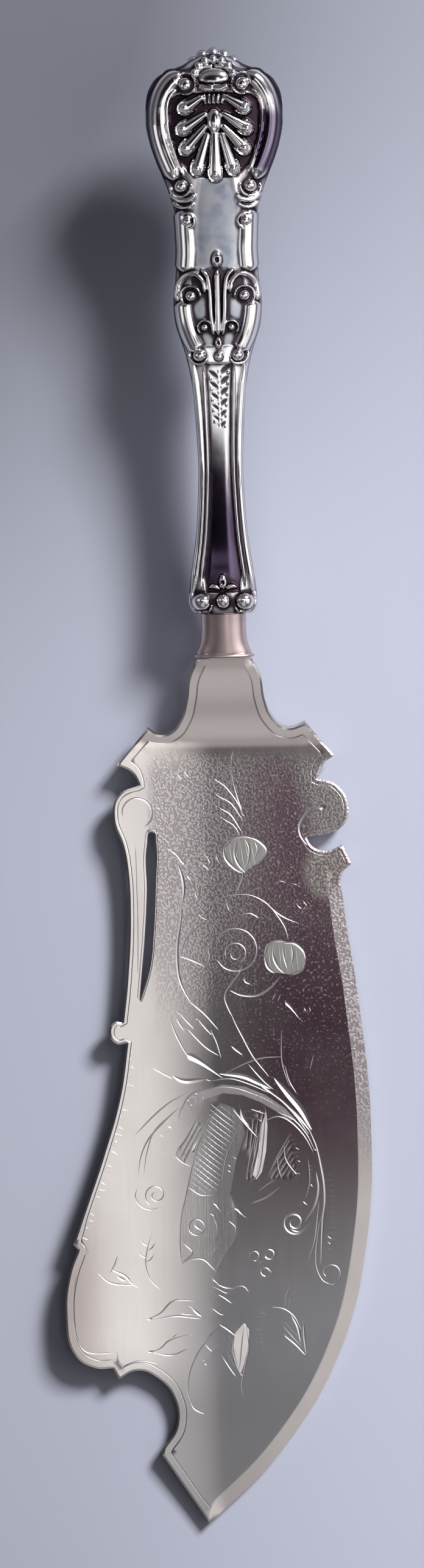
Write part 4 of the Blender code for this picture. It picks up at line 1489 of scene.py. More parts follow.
@dataclass(frozen=True)
class Bolster:
    """The cast bolster. A ring is a distance from the lip, a half width and a half thickness, in mm."""

    name: str = "polished_bolster"
    sides: int = 96
    lip: Sequence[tuple[float, float, float]] = (
        (0.0, 5.7, 2.8), (0.03, 5.98, 3.08), (0.14, 6.15, 3.25), (0.32, 6.2, 3.3),
        (0.5, 6.15, 3.25), (0.64, 5.98, 3.12), (0.7, 5.72, 2.98),
    )
    neck: Points = (
        (0.72, 5.6), (1.2, 5.55), (1.9, 5.25), (2.7, 4.95), (3.8, 4.72), (5.0, 4.62), (6.6, 4.58),
        (8.96, 4.6),
    )
    half_thickness: float = 3.0
    seat: float = 9.0
    seat_size: tuple[float, float] = (4.55, 2.95)
    spigot: tuple[float, float, float] = (3.4, 2.4, 3.0)
    ring_step: float = 0.35
    sharp: float = math.radians(50.0)

    def rings(self) -> list[tuple[float, float, float]]:
        """Lists the rings from the lip's face to the spigot's end.

        Returns:
            The rings.
        """
        neck = smooth_line(self.neck, self.ring_step)
        body = [(y, wide, self.half_thickness) for y, wide in neck]
        wide, thick, length = self.spigot
        end = [(self.seat, *self.seat_size), (self.seat, wide, thick), (self.seat + length, wide, thick)]
        return [*self.lip, *body, *end]

    def build(self) -> bpy.types.Object:
        """Draws a disc's rim from ring to ring, and closes it.

        Returns:
            The finished piece.
        """
        bm = bmesh.new()
        moved = bmesh.ops.create_circle(bm, cap_ends=True, segments=self.sides, radius=1.0)["verts"]
        bmesh.ops.rotate(bm, matrix=Matrix.Rotation(math.pi / 2, 3, "X"), verts=moved)
        rim, before = bm.edges[:], (0.0, 1.0, 1.0)
        for number, ring_size in enumerate(self.rings()):
            if number:
                made = bmesh.ops.extrude_edge_only(bm, edges=rim)["geom"]
                moved = [item for item in made if isinstance(item, bmesh.types.BMVert)]
                rim = [item for item in made if isinstance(item, bmesh.types.BMEdge)]
            grow = Matrix.Diagonal((ring_size[1] / before[1], 1.0, ring_size[2] / before[2], 1.0))
            shift = Matrix.Translation((0.0, ring_size[0] - before[0], 0.0))
            bmesh.ops.transform(bm, matrix=shift @ grow, verts=moved)
            before = ring_size
        bmesh.ops.contextual_create(bm, geom=rim)
        bmesh.ops.recalc_face_normals(bm, faces=bm.faces[:])
        bmesh.ops.transform(bm, matrix=SETTING.handle() @ Matrix.Scale(MM, 4), verts=bm.verts[:])
        piece = piece_from(bm, self.name, "bolster", (CAST,))
        piece.data.shade_smooth()
        piece.data.set_sharp_from_angle(angle=self.sharp)
        return piece


class Struck:
    """Something struck into the handle's face: a height over the plain body, in millimetres."""

    def height(self, points: np.ndarray) -> np.ndarray:
        """The height at each point of the plan.

        Args:
            points: Rows of distance from the centre line and from the lip.

        Returns:
            The heights. Below zero is sunk.
        """
        raise NotImplementedError


@dataclass(frozen=True)
class Reed(Struck):
    """A rounded reed along a smooth line. A reed with a height below zero is a groove."""

    points: Points
    half_width: float
    proud: float
    taper: Taper = Taper.NONE

    def height(self, points: np.ndarray) -> np.ndarray:
        """A round section, lower where the reed is narrow.

        Args:
            points: Rows of distance from the centre line and from the lip.

        Returns:
            The heights.
        """
        line = smooth_line(self.points, 0.25)
        low, high = line.min(axis=0) - self.half_width, line.max(axis=0) + self.half_width
        near = np.flatnonzero(np.all((points > low) & (points < high), axis=1))
        heights = np.zeros(len(points))
        if len(near):
            far, share = nearest(line, points[near])
            narrow = np.maximum(self.taper.share(share), 0.08)
            across = np.clip(far / (self.half_width * narrow), 0.0, 1.0)
            heights[near] = self.proud * np.sqrt(narrow) * (1 - across**2) ** 0.85
        return heights


@dataclass(frozen=True)
class Dome(Struck):
    """A round or oval dome."""

    x: float
    y: float
    half_width: float
    half_length: float
    proud: float

    def height(self, points: np.ndarray) -> np.ndarray:
        """An ellipsoid's cap.

        Args:
            points: Rows of distance from the centre line and from the lip.

        Returns:
            The heights.
        """
        across = (points[:, 0] - self.x) / self.half_width
        along = (points[:, 1] - self.y) / self.half_length
        return self.proud * np.sqrt(np.clip(1 - across**2 - along**2, 0.0, 1.0))


@dataclass(frozen=True)
class Lobe(Struck):
    """A rib that widens from its start to a rounded end."""

    start: tuple[float, float]
    end: tuple[float, float]
    half_width: float
    proud: float
    narrow: float = 0.35

    def height(self, points: np.ndarray) -> np.ndarray:
        """A round section that swells to the end.

        Args:
            points: Rows of distance from the centre line and from the lip.

        Returns:
            The heights.
        """
        far, share = nearest(np.array([self.start, self.end]), points)
        reach = self.half_width * (self.narrow + (1 - self.narrow) * share)
        across = np.clip(far / reach, 0.0, 1.0)
        return self.proud * (0.6 + 0.4 * share) * (1 - across**2) ** 0.9


@dataclass(frozen=True)
class Sunk(Struck):
    """Ground that is sunk inside a corner-to-corner outline, with soft edges."""

    corners: Points
    deep: float
    edge: float = 0.5

    def height(self, points: np.ndarray) -> np.ndarray:
        """The full depth from the edge's width inwards.

        Args:
            points: Rows of distance from the centre line and from the lip.

        Returns:
            The heights.
        """
        loop = np.asarray(self.corners, float)
        within = inside(loop, points)
        heights = np.zeros(len(points))
        if within.any():
            far, _ = nearest(np.vstack([loop, loop[:1]]), points[within])
            heights[within] = -self.deep * soft_step(far, 0.0, self.edge)
        return heights


# Each rib of the shell in the bow, as its start beside the hinge and its bead
SCALLOP_RIBS = (
    ((0.0, 105.6), (0.0, 98.6)),
    ((1.5, 106.6), (3.65, 99.8)),
    ((1.9, 108.3), (5.9, 103.9)),
    ((1.9, 110.8), (6.45, 107.9)),
    ((2.6, 114.2), (6.05, 112.1)),
)
# The thin rim round a rib's bead, as distances to the side and back towards the hinge
BEAD_RIM = (
    (-1.35, 1.8), (-1.45, 0.3), (-1.05, -0.95), (0.0, -1.45), (1.05, -0.95), (1.45, 0.3),
    (1.35, 1.8),
)


def scallop() -> list[Struck]:
    """The shell in the bow: a bulb at its hinge, and broad ribs that each end in a bead with a thin rim.

    Returns:
        What is struck.
    """
    made: list[Struck] = [Dome(0.0, 109.5, 1.6, 2.6, 1.0), Lobe((0.0, 108.0), (0.0, 98.8), 1.6, 0.75, 0.55)]
    for start, tip in SCALLOP_RIBS:
        along = np.array(tip) - start
        along /= np.hypot(*along)
        across = np.array([-along[1], along[0]])
        made.append(Lobe(start, tuple(tip), 1.4, 0.65, 0.55))
        made.append(Dome(*tip, 0.85, 0.85, 1.0))
        rim = [tuple(tip + across * side - along * back) for side, back in BEAD_RIM]
        made.append(Reed(rim, 0.27, 0.55))
    return made


def on_arc(middle: float, reach: float, angle: float) -> tuple[float, float]:
    """A point on an arc round a middle that lies on the handle's centre line.

    Args:
        middle: The middle's distance from the lip.
        reach: The arc's radius.
        angle: The angle from the centre line, in degrees.

    Returns:
        The point.
    """
    turn = math.radians(angle)
    return reach * math.sin(turn), middle + reach * math.cos(turn)


# What is struck on both sides of the centre line, from the crown to the mouth
CROWN_ARCH: tuple[Struck, ...] = (
    *(Dome(*on_arc(117.6, 4.1, angle), 0.95, 1.0, 1.25) for angle in (0.0, 23.5, 47.0, 70.5)),
    Reed([(0.0, 120.5), (1.9, 120.2), (3.0, 119.5), (3.75, 118.5)], 0.42, 0.75),
    Dome(0.0, 118.3, 3.1, 1.9, 1.0),
    Reed([(0.0, 116.0), (1.6, 116.1), (2.9, 116.7)], 0.75, 0.82),
    Reed([(0.0, 117.0), (1.7, 117.05), (3.1, 117.4)], 0.24, -0.4),
    *(Reed([(x, 115.0), (x * 0.85, 112.8)], 0.42, 0.25) for x in (0.0, 1.0, 2.0)),
)
BOW_ARM = (
    (6.6, 119.3), (8.7, 117.9), (10.6, 115.3), (11.7, 111.4),
    (11.5, 107.0), (10.5, 103.2), (9.2, 100.0), (8.0, 97.6),
)
BOW_INNER_REED = (
    (7.6, 115.9), (8.7, 114.9), (9.4, 113.2), (9.6, 110.8),
    (9.3, 107.2), (8.4, 103.8), (7.3, 100.6), (6.5, 98.6),
)
BOW_GROUND = (
    (-5.0, 97.0), (4.5, 98.0), (7.4, 101.0), (9.2, 105.0), (9.8, 110.0),
    (9.3, 113.6), (7.6, 115.0), (2.6, 115.4), (-5.0, 115.4),
)
BOW: tuple[Struck, ...] = (
    Dome(5.8, 117.0, 1.4, 1.4, 1.05),
    Reed(ring(5.8, 117.0, 2.15, 55.0, 0.68), 0.32, 0.65),
    Reed(BOW_ARM, 2.0, 1.0),
    Reed(BOW_INNER_REED, 0.45, 0.55),
    Sunk(BOW_GROUND, 0.5),
    *scallop(),
)
NECK_GROUND = (
    (-5.0, 98.6), (3.6, 98.6), (4.7, 93.0), (5.0, 86.0), (5.3, 80.0), (3.0, 78.4), (-5.0, 78.6),
)
NECK_SCROLLS: tuple[Struck, ...] = (
    Dome(7.0, 96.4, 1.35, 1.35, 1.2),
    Reed(ring(7.0, 96.4, 2.05, 170.0, 0.55), 0.36, 0.6),
    Reed([(4.0, 94.6), (5.4, 93.6), (7.4, 93.6), (9.1, 95.0)], 0.6, 0.75),
    Reed([(4.3, 92.8), (5.8, 92.1), (7.4, 92.2), (8.6, 93.2)], 0.42, 0.6),
    Dome(5.9, 89.2, 1.05, 1.05, 1.1),
    Reed(ring(5.9, 89.2, 1.75, 30.0, 0.8, 1.4), 0.32, 0.6),
    Reed([(6.9, 91.4), (6.6, 87.0), (6.4, 83.0), (6.8, 79.0)], 2.0, 0.85),
    Sunk(NECK_GROUND, 0.12, 1.2),
)
PALMETTE_SCROLL = (
    (2.5, 74.6), (2.9, 77.0), (4.4, 78.5), (6.2, 78.3), (7.6, 76.8), (8.1, 74.6), (8.0, 73.0),
)
PALMETTE_GROUND = (
    (-5.0, 80.0), (2.0, 80.4), (5.6, 77.6), (6.0, 72.0), (5.4, 67.0), (3.6, 63.6), (-5.0, 63.6),
)
PALMETTE: tuple[Struck, ...] = (
    Dome(0.0, 81.5, 1.15, 1.8, 0.9),
    Reed([(0.0, 80.9), (0.0, 81.9)], 0.45, -0.6),
    Reed([(0.0, 79.4), (0.0, 74.0), (0.0, 66.0)], 0.75, 0.9),
    Reed([(0.9, 66.0), (1.35, 70.0), (1.55, 75.0), (2.0, 78.0), (3.4, 79.6)], 0.55, 0.7),
    Reed(PALMETTE_SCROLL, 0.6, 0.75),
    Dome(5.4, 74.1, 1.15, 1.15, 1.1),
    Reed(ring(5.4, 74.1, 1.95, -60.0, 0.72), 0.34, 0.6),
    Reed([(7.2, 73.0), (7.1, 71.2), (6.7, 68.6), (5.9, 66.0), (4.9, 64.0), (4.3, 62.8)], 1.8, 0.9),
    Dome(2.7, 67.7, 0.75, 0.75, 0.75),
    Reed(ring(2.7, 67.7, 1.4, 200.0, -0.72), 0.3, 0.55),
    Sunk(PALMETTE_GROUND, 0.2, 0.6),
    Dome(0.0, 64.5, 0.8, 1.3, 0.85),
    Reed([(0.0, 64.2), (0.0, 64.8)], 0.3, -0.5),
    Dome(0.0, 61.7, 1.0, 1.0, 1.0),
    Dome(3.9, 62.0, 1.3, 1.3, 1.15),
    Reed([(2.2, 61.4), (3.1, 60.4), (4.7, 60.4), (5.7, 61.6), (5.9, 62.8)], 0.38, 0.6),
)
STEM_GROUND = (
    (-5.0, 60.5), (3.1, 60.5), (2.75, 52.0), (2.5, 41.0), (2.65, 34.0),
    (3.2, 25.0), (4.2, 17.0), (3.6, 13.5), (-5.0, 13.2),
)
STEM_INNER_REED = (
    (3.1, 60.4), (2.8, 52.0), (2.55, 41.0), (2.7, 34.0), (3.25, 25.0), (4.2, 17.5), (4.45, 14.6),
)
STEM_OUTER_REED = (
    (5.1, 60.4), (4.3, 52.0), (3.75, 41.0), (3.85, 34.0), (4.45, 25.0), (5.5, 17.5), (6.15, 13.2),
)
STEM_REEDS: tuple[Struck, ...] = (
    Sunk(STEM_GROUND, 0.42, 0.45),
    Reed(STEM_INNER_REED, 0.36, 0.55),
    Reed(STEM_OUTER_REED, 0.65, 0.75),
    Reed([(6.15, 13.8), (6.3, 11.6), (5.6, 10.0), (4.3, 9.7), (2.9, 10.0), (2.3, 11.0)], 0.38, 0.7),
    Dome(4.3, 11.8, 1.8, 1.8, 1.7),
    Dome(0.0, 11.9, 1.5, 1.5, 1.45),
    Dome(0.0, 15.8, 0.85, 1.6, 0.85),
    Reed([(0.0, 15.3), (0.0, 16.1)], 0.36, -0.6),
    Reed([(0.5, 14.2), (1.7, 14.9), (3.0, 14.6)], 0.6, 0.65, Taper.BOTH),
)
# The laurel's leaves: how many, the first one's place, and the step and the shrinking from each to the next
SPRIG_LEAVES = 11
SPRIG_TOP = 58.6
SPRIG_STEP = 1.1
SPRIG_SHRINK = 0.045


def chased_sprig() -> list[Struck]:
    """The laurel chased into the top of the stem: pointed leaves and berries, smaller towards its tip.

    Returns:
        What is chased.
    """
    made: list[Struck] = []
    for i in range(SPRIG_LEAVES):
        side, size = (-1) ** i, 1.0 - SPRIG_SHRINK * i
        y = SPRIG_TOP - SPRIG_STEP * i
        base, bend = (side * 0.25, y - 0.3), (side * 0.85 * size, y + 0.25)
        made.append(Reed([base, bend, (side * 2.3 * size, y + 1.4 * size)], 0.55 * size, -0.2, Taper.BOTH))
        made.append(Dome(side * 1.9 * size, y - 0.25, 0.3 * size, 0.3 * size, 0.22))
        made.append(Dome(-side * 0.3, y, 0.2, 0.2, -0.12))
    return made


SPRIG: tuple[Struck, ...] = tuple(chased_sprig())
# The plain body: distance from the lip, half width, half thickness
HANDLE_STATIONS = (
    (9.3, 4.7, 3.5), (9.7, 5.7, 4.0), (10.6, 6.6, 4.4), (12.5, 6.9, 4.6), (15.0, 6.7, 4.5),
    (18.8, 6.1, 4.2), (22.5, 5.5, 3.9), (28.8, 4.9, 3.7), (35.0, 4.5, 3.6), (41.3, 4.5, 3.6),
    (47.5, 4.7, 3.7), (52.5, 5.1, 3.8), (57.5, 5.8, 4.0), (62.5, 6.9, 4.2), (65.0, 7.7, 4.3),
    (67.5, 8.5, 4.4), (70.0, 8.9, 4.5), (72.5, 9.0, 4.5), (77.5, 8.5, 4.4), (82.0, 8.2, 4.2),
    (88.0, 8.2, 4.2), (91.3, 8.5, 4.3), (93.8, 9.2, 4.4), (96.3, 10.0, 4.5), (98.8, 11.0, 4.6),
    (101.3, 12.0, 4.7), (105.0, 13.2, 4.8), (108.8, 13.9, 4.8), (112.5, 13.9, 4.7),
    (116.3, 13.0, 4.4), (118.5, 11.3, 4.0), (119.7, 9.2, 3.6), (120.6, 6.6, 3.2), (121.5, 5.0, 2.8),
    (122.3, 3.5, 2.3), (123.0, 1.8, 1.7),
)


def blurred(grid: np.ndarray, reach: int) -> np.ndarray:
    """Smooths a grid: each value is averaged over a square round it, three times over.

    Args:
        grid: Rows of values.
        reach: How far the square reaches on each side.

    Returns:
        The smoothed grid.
    """
    width = 2 * reach + 1
    for _ in range(3):
        for axis in (0, 1):
            first, last = grid.take([0], axis), grid.take([-1], axis)
            before, after = np.repeat(first, reach, axis), np.repeat(last, reach, axis)
            padded = np.concatenate([before, grid, after], axis)
            total = np.cumsum(np.insert(padded, 0, 0.0, axis), axis)
            count = grid.shape[axis]
            grid = (total.take(range(width, width + count), axis) - total.take(range(count), axis)) / width
    return grid


@dataclass(frozen=True)
class Handle:
    """The hollow handle: two struck shells that meet at a seam. Sizes are in millimetres, from the lip."""

    columns: int = 144
    rows: int = 576
    coarse: int = 8
    wall: float = 0.7
    seam: float = 0.15
    power: float = 2.6
    crown_beads: int = 7
    crown_middle: float = 117.6
    crown_reach: float = 5.4
    crown_bead_radius: float = 1.25
    crown_step: float = 23.5
    crown_satin: float = 0.4
    # how strongly the bow's outer edges are painted dark as a reflection
    bow_edge_shade: float = 0.9
    satin: tuple[float, float] = (41.0, 101.0)
    sprig_satin: tuple[float, float, float, float] = (44.0, 53.0, 60.2, 61.0)
    hollows: Sequence[tuple[int, float]] = ((4, 2.2), (12, 1.0))
    sparse_part: tuple[float, float] = (20.0, 47.0)
    sparse_share: float = 0.35
    least_half: float = 0.4
    sharp: float = math.radians(60.0)
    mirrored: Sequence[Struck] = (*CROWN_ARCH, *BOW, *NECK_SCROLLS, *PALMETTE, *STEM_REEDS)

    def sizes(self, y: np.ndarray) -> tuple[np.ndarray, np.ndarray]:
        """Eases the plain body's sizes between its stations.

        Args:
            y: Distances from the lip.

        Returns:
            The half widths and the half thicknesses.
        """
        places, *sizes = np.array(HANDLE_STATIONS).T
        at = np.clip(np.searchsorted(places, y) - 1, 0, len(places) - 2)
        gap = places[at + 1] - places[at]
        t = np.clip((y - places[at]) / gap, 0.0, 1.0)
        eased = []
        for size in sizes:
            slope = np.gradient(size, places)
            low, high = size[at], size[at + 1]
            bend = (t**3 - 2 * t**2 + t) * gap * slope[at] + (t**3 - t**2) * gap * slope[at + 1]
            curve = low * (2 * t**3 - 3 * t**2 + 1) + high * (3 * t**2 - 2 * t**3) + bend
            eased.append(np.clip(curve, np.minimum(low, high), np.maximum(low, high)))
        return eased[0], eased[1]

    def plain(self, rows: int, columns: int, inset: float = 0.0) -> np.ndarray:
        """Makes the plain half body, from seam to seam in every row.

        Args:
            rows: How many rows lie along the handle.
            columns: How many points are in a row.
            inset: How far the body lies inside the outer one.

        Returns:
            A grid of points.
        """
        first, last = HANDLE_STATIONS[0][0], HANDLE_STATIONS[-1][0]
        places = np.linspace(first, last, 600)
        low, high = self.sparse_part
        dense = np.where((places > low) & (places < high), self.sparse_share, 1.0)
        counted = np.concatenate([[0.0], np.cumsum(blurred(dense[:, None], 6)[1:, 0])])
        y = np.interp(np.linspace(0.0, counted[-1], rows), counted, places)
        y = first + inset * 0.05 + (y - first) * (last - first - inset * 0.65) / (last - first)
        wide, thick = self.sizes(y)
        angle = np.linspace(0.0, math.pi, 2001)
        x = np.sign(np.cos(angle)) * np.abs(np.cos(angle)) ** (2 / self.power)
        z = np.abs(np.sin(angle)) ** (2 / self.power)
        grid = np.empty((rows, columns, 3))
        for row in range(rows):
            half, high = max(wide[row] - inset, self.least_half), max(thick[row] - inset, self.least_half)
            walked = np.concatenate([[0.0], np.cumsum(np.hypot(np.diff(x * half), np.diff(z * high)))])
            even = np.linspace(0.0, walked[-1], columns)
            grid[row, :, 0] = np.interp(even, walked, x * half)
            grid[row, :, 1] = y[row]
            grid[row, :, 2] = np.interp(even, walked, z * high)
        return grid

    def relief(self, plan: np.ndarray) -> np.ndarray:
        """What is struck at each point of the plan.

        Args:
            plan: Rows of distance from the centre line and from the lip.

        Returns:
            Four rows: each point's height, its shares of satin and of painted dark reflection, and how deep
                it is chased.
        """
        folded = np.column_stack([np.abs(plan[:, 0]), plan[:, 1]])
        out, sunk, carved = np.zeros(len(plan)), np.zeros(len(plan)), np.zeros(len(plan))
        grounds: list[tuple[Struck, np.ndarray]] = [(feature, folded) for feature in self.mirrored]
        grounds += [(feature, plan) for feature in SPRIG]
        for feature, points in grounds:
            height = feature.height(points)
            out = np.maximum(out, height)
            if isinstance(feature, Sunk):
                sunk = np.minimum(sunk, height)
            else:
                carved = np.minimum(carved, height)
        low, high = self.satin
        begins, full, fades, ends = self.sprig_satin
        stem = soft_step(plan[:, 1], begins, full) * (1 - soft_step(plan[:, 1], fades, ends))
        slanted = plan[:, 1] + plan[:, 0] * 2.5
        panel = soft_step(slanted, low, low + 12.0) * (1 - soft_step(plan[:, 1], high - 3.0, high))
        panel *= np.clip(-sunk / 0.03, 0.0, 1.0) * np.clip(1 - out / 0.15, 0.0, 1.0)
        bare = np.clip(1 - out / 0.25, 0.0, 1.0)
        # Painted dark reflection in the lower part of the stem's sunk channel
        toned = np.clip(-sunk / 0.4, 0.0, 1.0) * bare * (1 - soft_step(slanted, 33.0, 47.0))
        # Painted dark reflection on the right arm of the bow only
        darkened = soft_step(plan[:, 0], 7.0, 8.6) * soft_step(plan[:, 1], 97.5, 100.5)
        toned = np.maximum(toned, darkened * (1 - soft_step(plan[:, 1], 110.0, 114.5)) * 0.93)
        height = out + sunk * bare + carved
        beaded = soft_step(plan[:, 1], 119.0, 119.6) * self.crown_satin
        return np.stack([height, np.maximum.reduce([panel, stem, beaded]), toned, -carved])

    def averaged_relief(self, grid: np.ndarray) -> np.ndarray:
        """Averages the relief over the cell round each point of a grid.

        Args:
            grid: The plain body's points.

        Returns:
            The relief's four values at each point. See relief.
        """
        plan = grid[..., :2]
        along, across = np.gradient(plan, axis=0), np.gradient(plan, axis=1)
        total = np.zeros((4, *plan.shape[:2]))
        for down in (-0.25, 0.25):
            for right in (-0.25, 0.25):
                shifted = (plan + along * down + across * right).reshape(-1, 2)
                total += self.relief(shifted).reshape(total.shape) / 4
        return total

    def outer(self) -> tuple[np.ndarray, dict[str, np.ndarray]]:
        """Strikes the outer face.

        Returns:
            The face's points, and what the finish reads at each, by name.
        """
        grid = self.plain(self.rows + 1, self.columns + 1)
        height, ground, toned, chased = self.averaged_relief(grid)
        along, across = np.gradient(grid, axis=0), np.gradient(grid, axis=1)
        normal = np.cross(across, along)
        normal *= np.sign(normal[..., 2:3] + 1e-9)
        normal /= np.maximum(np.linalg.norm(normal, axis=2), 1e-9)[..., None]
        fade = soft_step(grid[..., 2], 0.1, 1.1)
        mouth = soft_step(grid[..., 1], 9.3, 9.9)
        raised = height * fade * mouth
        recess = sum((blurred(raised, reach) - raised) * share for reach, share in self.hollows)
        points = grid + normal * raised[..., None]
        facing = np.cross(np.gradient(points, axis=1), np.gradient(points, axis=0))
        upright = np.abs(facing[..., 2]) / np.maximum(np.linalg.norm(facing, axis=2), 1e-9)
        flank = np.abs(grid[..., 0]) / np.abs(grid[..., 0]).max(axis=1, keepdims=True)
        bow = soft_step(grid[..., 1], 95.0, 99.0)
        held = (1 - soft_step(flank - 0.16 * bow, 0.72, 0.84)) * soft_step(grid[..., 2], 1.0, 2.0)
        # Painted dark reflection along the outer edges of the bow
        toned = np.maximum(toned, self.bow_edge_shade * bow * soft_step(flank, 0.85, 0.93))
        # Painted dark reflection on steep flanks, kept off the seam's edge; it joins the patina in the
        # hollows and in the chased lines
        steep = 0.95 * (1 - soft_step(upright, 0.35, 0.7)) * held
        patina_and_flank_shade = np.maximum.reduce([recess, steep, chased * 8.0])
        return points, {"recess": np.clip(patina_and_flank_shade, 0.0, 1.0), "ground": ground, "toned": toned}

    def add_sheet(
        self, bm: bmesh.types.BMesh, points: np.ndarray, worn: dict[str, np.ndarray]
    ) -> list[bmesh.types.BMEdge]:
        """Adds a grid shaped to points.

        Args:
            bm: The shell's mesh.
            points: Rows of points.
            worn: The values that the finish reads, by name, at each point.

        Returns:
            The edges round the grid.
        """
        rows, columns = points.shape[:2]
        layers = bm.verts.layers.float
        written = [(layers.get(name) or layers.new(name), values) for name, values in worn.items()]
        made = bmesh.ops.create_grid(bm, x_segments=columns - 1, y_segments=rows - 1, size=0.5)["verts"]
        for vert in made:
            row = round((vert.co.y + 0.5) * (rows - 1))
            column = round((vert.co.x + 0.5) * (columns - 1))
            vert.co = points[row, column]
            for layer, values in written:
                vert[layer] = float(values[row, column])
        own = set(made)
        return [edge for edge in bm.edges if edge.is_boundary and edge.verts[0] in own]

    def add_crown(self, bm: bmesh.types.BMesh) -> None:
        """Adds half beads round the top, cut off at the seam.

        Args:
            bm: The shell's mesh.
        """
        beads = bmesh.new()
        for i in range(self.crown_beads):
            angle = (i - (self.crown_beads - 1) / 2) * self.crown_step
            place = Matrix.Translation((*on_arc(self.crown_middle, self.crown_reach, angle), 0.0))
            size = self.crown_bead_radius
            bmesh.ops.create_uvsphere(beads, u_segments=20, v_segments=14, radius=size, matrix=place)
        geometry = beads.verts[:] + beads.edges[:] + beads.faces[:]
        cut = {"plane_co": Vector((0, 0, 0.02)), "plane_no": Vector((0, 0, -1))}
        bmesh.ops.bisect_plane(beads, geom=geometry, dist=1e-6, clear_outer=True, **cut)
        bmesh.ops.holes_fill(beads, edges=beads.edges[:], sides=0)
        bmesh.ops.recalc_face_normals(beads, faces=beads.faces[:])
        mesh = bpy.data.meshes.new("crown")
        beads.to_mesh(mesh)
        beads.free()
        before = len(bm.verts)
        bm.from_mesh(mesh)
        bpy.data.meshes.remove(mesh)
        ground = bm.verts.layers.float["ground"]
        for vert in bm.verts[before:]:
            vert[ground] = self.crown_satin

    def build(self) -> None:
        """Makes both shells from one struck face."""
        points, worn = self.outer()
        self.build_shell("struck_front", "handle_front_shell", 1, points, worn)
        self.build_shell("struck_back", "handle_back_shell", -1, points, worn)

    def build_shell(
        self, name: str, node: str, side: int, points: np.ndarray, worn: dict[str, np.ndarray]
    ) -> bpy.types.Object:
        """Makes one shell: a struck outer face, a plain inner one, and the seam's rim between them.

        Args:
            name: The piece's name.
            node: The CAD node that it replaces.
            side: 1 for the front shell, -1 for the back.
            points: The struck face, as rows of points.
            worn: What the finish reads at each point, by name.

        Returns:
            The finished piece.
        """
        bm = bmesh.new()
        rim = self.add_sheet(bm, points, worn)
        inner = self.plain(self.rows // self.coarse + 1, self.columns // self.coarse + 1, self.wall)
        rim += self.add_sheet(bm, inner, {"recess": np.full(inner.shape[:2], 0.6)})
        bmesh.ops.bridge_loops(bm, edges=rim)
        bmesh.ops.recalc_face_normals(bm, faces=bm.faces[:])
        self.add_crown(bm)
        turn = Matrix.Diagonal((side, 1.0, side, 1.0))
        raise_seam = Matrix.Translation((0.0, 0.0, side * self.seam))
        place = SETTING.handle() @ Matrix.Scale(MM, 4) @ raise_seam @ turn
        bmesh.ops.transform(bm, matrix=place, verts=bm.verts[:])
        piece = piece_from(bm, name, node, (STRUCK,))
        piece.data.shade_smooth()
        piece.data.set_sharp_from_angle(angle=self.sharp)
        return piece


WARM_WHITE = (1.0, 0.975, 0.95)
COOL_WHITE = (1.0, 0.985, 0.99)


@dataclass(frozen=True)
class Lamp:
    """A soft box that looks at a point."""

    name: str
    place: tuple[float, float, float]
    target: tuple[float, float, float]
    size: tuple[float, float]
    watts: float
    colour: Colour = (1.0, 1.0, 1.0)

    def build(self) -> None:
        """Hangs the soft box, unseen by the camera."""
        light = bpy.data.lights.new(self.name, "AREA")
        light.shape = "RECTANGLE"
        light.size, light.size_y = self.size
        light.energy = self.watts
        light.color = self.colour
        lamp = bpy.data.objects.new(self.name, light)
        lamp.location = self.place
        lamp.rotation_euler = (Vector(self.target) - Vector(self.place)).to_track_quat("-Z", "Y").to_euler()
        lamp.visible_camera = False
        bpy.context.scene.collection.objects.link(lamp)


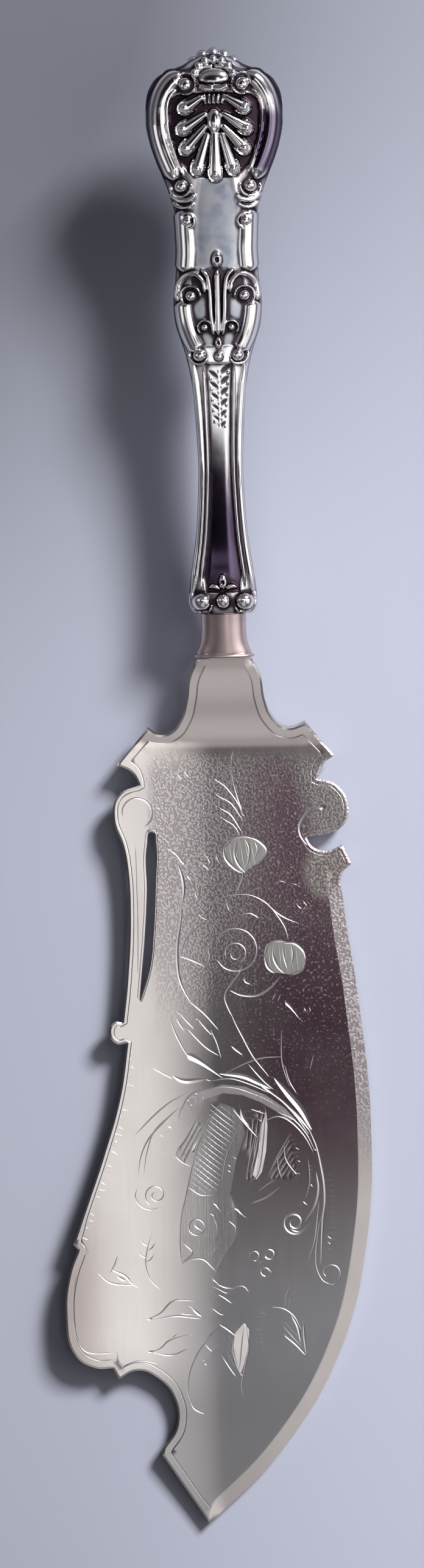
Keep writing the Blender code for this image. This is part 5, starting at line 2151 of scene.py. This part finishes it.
@dataclass(frozen=True)
class Studio:
    """A pale floor, soft boxes, a dim ceiling and the camera above them."""

    camera_place: tuple[float, float, float] = (-2.99 * MM, 4.05 * MM, 1.7)
    camera_turn: float = math.radians(-1.08)
    lens: float = 189.9
    floor_size: float = 60.0
    floor_gap: float = 2.45 * MM
    floor_slope: float = math.radians(-0.6)
    room: Sequence[tuple[float, Colour]] = (
        (0.0, (0.30, 0.29, 0.31)),
        (0.3, (0.14, 0.13, 0.15)),
        (0.55, (0.060, 0.053, 0.064)),
        (0.8, (0.020, 0.015, 0.022)),
        (1.0, (0.015, 0.010, 0.017)),
    )
    walls: Colour = (0.17, 0.165, 0.175)
    lamps: Sequence[Lamp] = (
        Lamp("key_box", (6.76, 7.62, 7.40), (0.0, -0.02, 0.0), (3.4, 3.4), 2400.0),
        Lamp("right_panel", (1.1, -0.1, 0.95), (0.0, 0.0, 0.0), (1.2, 0.95), 2.45),
        Lamp("overhead_strip", (0.256, -0.05, 1.18), (0.0, -0.05, 0.0), (0.85, 0.164), 0.54, WARM_WHITE),
        Lamp("front_card", (0.0, -0.644, 0.905), (0.0, 0.05, 0.0), (0.7, 1.08), 0.66, COOL_WHITE),
        Lamp("side_card", (0.21, 0.08, 0.28), (0.0, 0.08, 0.0), (0.138, 0.28), 0.127),
        Lamp("left_card", (-0.14, 0.0875, 0.13), (0.0, 0.11, 0.01), (0.07, 0.075), 0.0125),
        Lamp("panel_card", (-0.02, 0.0675, 0.3), (-0.02, 0.0675, 0.0), (0.16, 0.041), 0.0124),
        Lamp("stem_card", (-0.002, 0.0655, 0.1), (-0.002, 0.0655, 0.0), (0.06, 0.014), 0.0034),
    )

    def build(self) -> None:
        """Sets up the camera, the lamps, the world and the floor."""
        scene = bpy.context.scene
        scene.view_settings.view_transform = "Standard"
        eye = bpy.data.cameras.new("eye")
        eye.sensor_fit = "AUTO"
        eye.sensor_width = 36.0
        eye.lens = self.lens
        eye.clip_end = 200.0
        camera = bpy.data.objects.new("eye", eye)
        camera.location = self.camera_place
        camera.rotation_euler = (0.0, 0.0, self.camera_turn)
        scene.collection.objects.link(camera)
        scene.camera = camera
        for lamp in self.lamps:
            lamp.build()
        self.build_world()
        self.build_floor()

    def build_world(self) -> None:
        """A room that is dark overhead and pale at the horizon, with paler walls where metal mirrors it."""
        world = bpy.data.worlds.new("studio_room")
        world.use_nodes = True
        bpy.context.scene.world = world
        wiring = Wiring(world.node_tree)
        direction = wiring.node("ShaderNodeTexCoord", output="Generated")
        up = wiring.node("ShaderNodeSeparateXYZ", inputs={"Vector": direction}, output="Z")
        right = wiring.node("ShaderNodeSeparateXYZ", inputs={"Vector": direction}, output="X")
        room = wiring.node("ShaderNodeValToRGB", {"stops": self.room}, {"Fac": up})
        lit = 1.0 - (1.0 - right.rise(-0.8, 0.4)) * (up.rise(0.3, 0.6) * 0.4 + 0.4)
        glossy = wiring.node("ShaderNodeLightPath", output="Is Glossy Ray")
        sides = glossy * up.rise(0.42, 0.6) * (1.0 - up.rise(0.8, 0.93))
        mirrored = wiring.mix(sides, room, self.walls)
        strength = lit + (1.0 - lit) * sides
        background = wiring.node("ShaderNodeBackground", inputs={"Color": mirrored, "Strength": strength})
        wiring.node("ShaderNodeOutputWorld", inputs={"Surface": background})

    def build_floor(self) -> None:
        """A wide plain floor that the point almost touches, a little farther below the handle."""
        bm = bmesh.new()
        bmesh.ops.create_grid(bm, x_segments=1, y_segments=1, size=self.floor_size / 2)
        bmesh.ops.rotate(bm, matrix=Matrix.Rotation(self.floor_slope, 3, "X"), verts=bm.verts[:])
        bmesh.ops.translate(bm, vec=(0.0, 0.0, -self.floor_gap), verts=bm.verts[:])
        mesh = bpy.data.meshes.new("studio_floor")
        bm.to_mesh(mesh)
        bm.free()
        mesh.materials.append(FLOOR.material())
        floor = bpy.data.objects.new("studio_floor", mesh)
        bpy.context.scene.collection.objects.link(floor)


def dress_nodes() -> None:
    """Gives the hidden steel and cement their finishes."""
    for node, finish in (("tang", STEEL), ("handle_filling", CEMENT)):
        slots = bpy.data.objects[node].material_slots
        for slot in slots:
            slot.material = finish.material()
        LOG.info("%s keeps its CAD shape in %s", node, finish.name)


def main() -> None:
    """Builds the studio and then the pieces in order."""
    logging.basicConfig(level=logging.INFO, format="%(name)s: %(message)s")
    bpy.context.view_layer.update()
    Studio().build()
    Blade().build()
    Bolster().build()
    Handle().build()
    dress_nodes()
    bpy.context.view_layer.update()


if __name__ == "__main__":
    main()
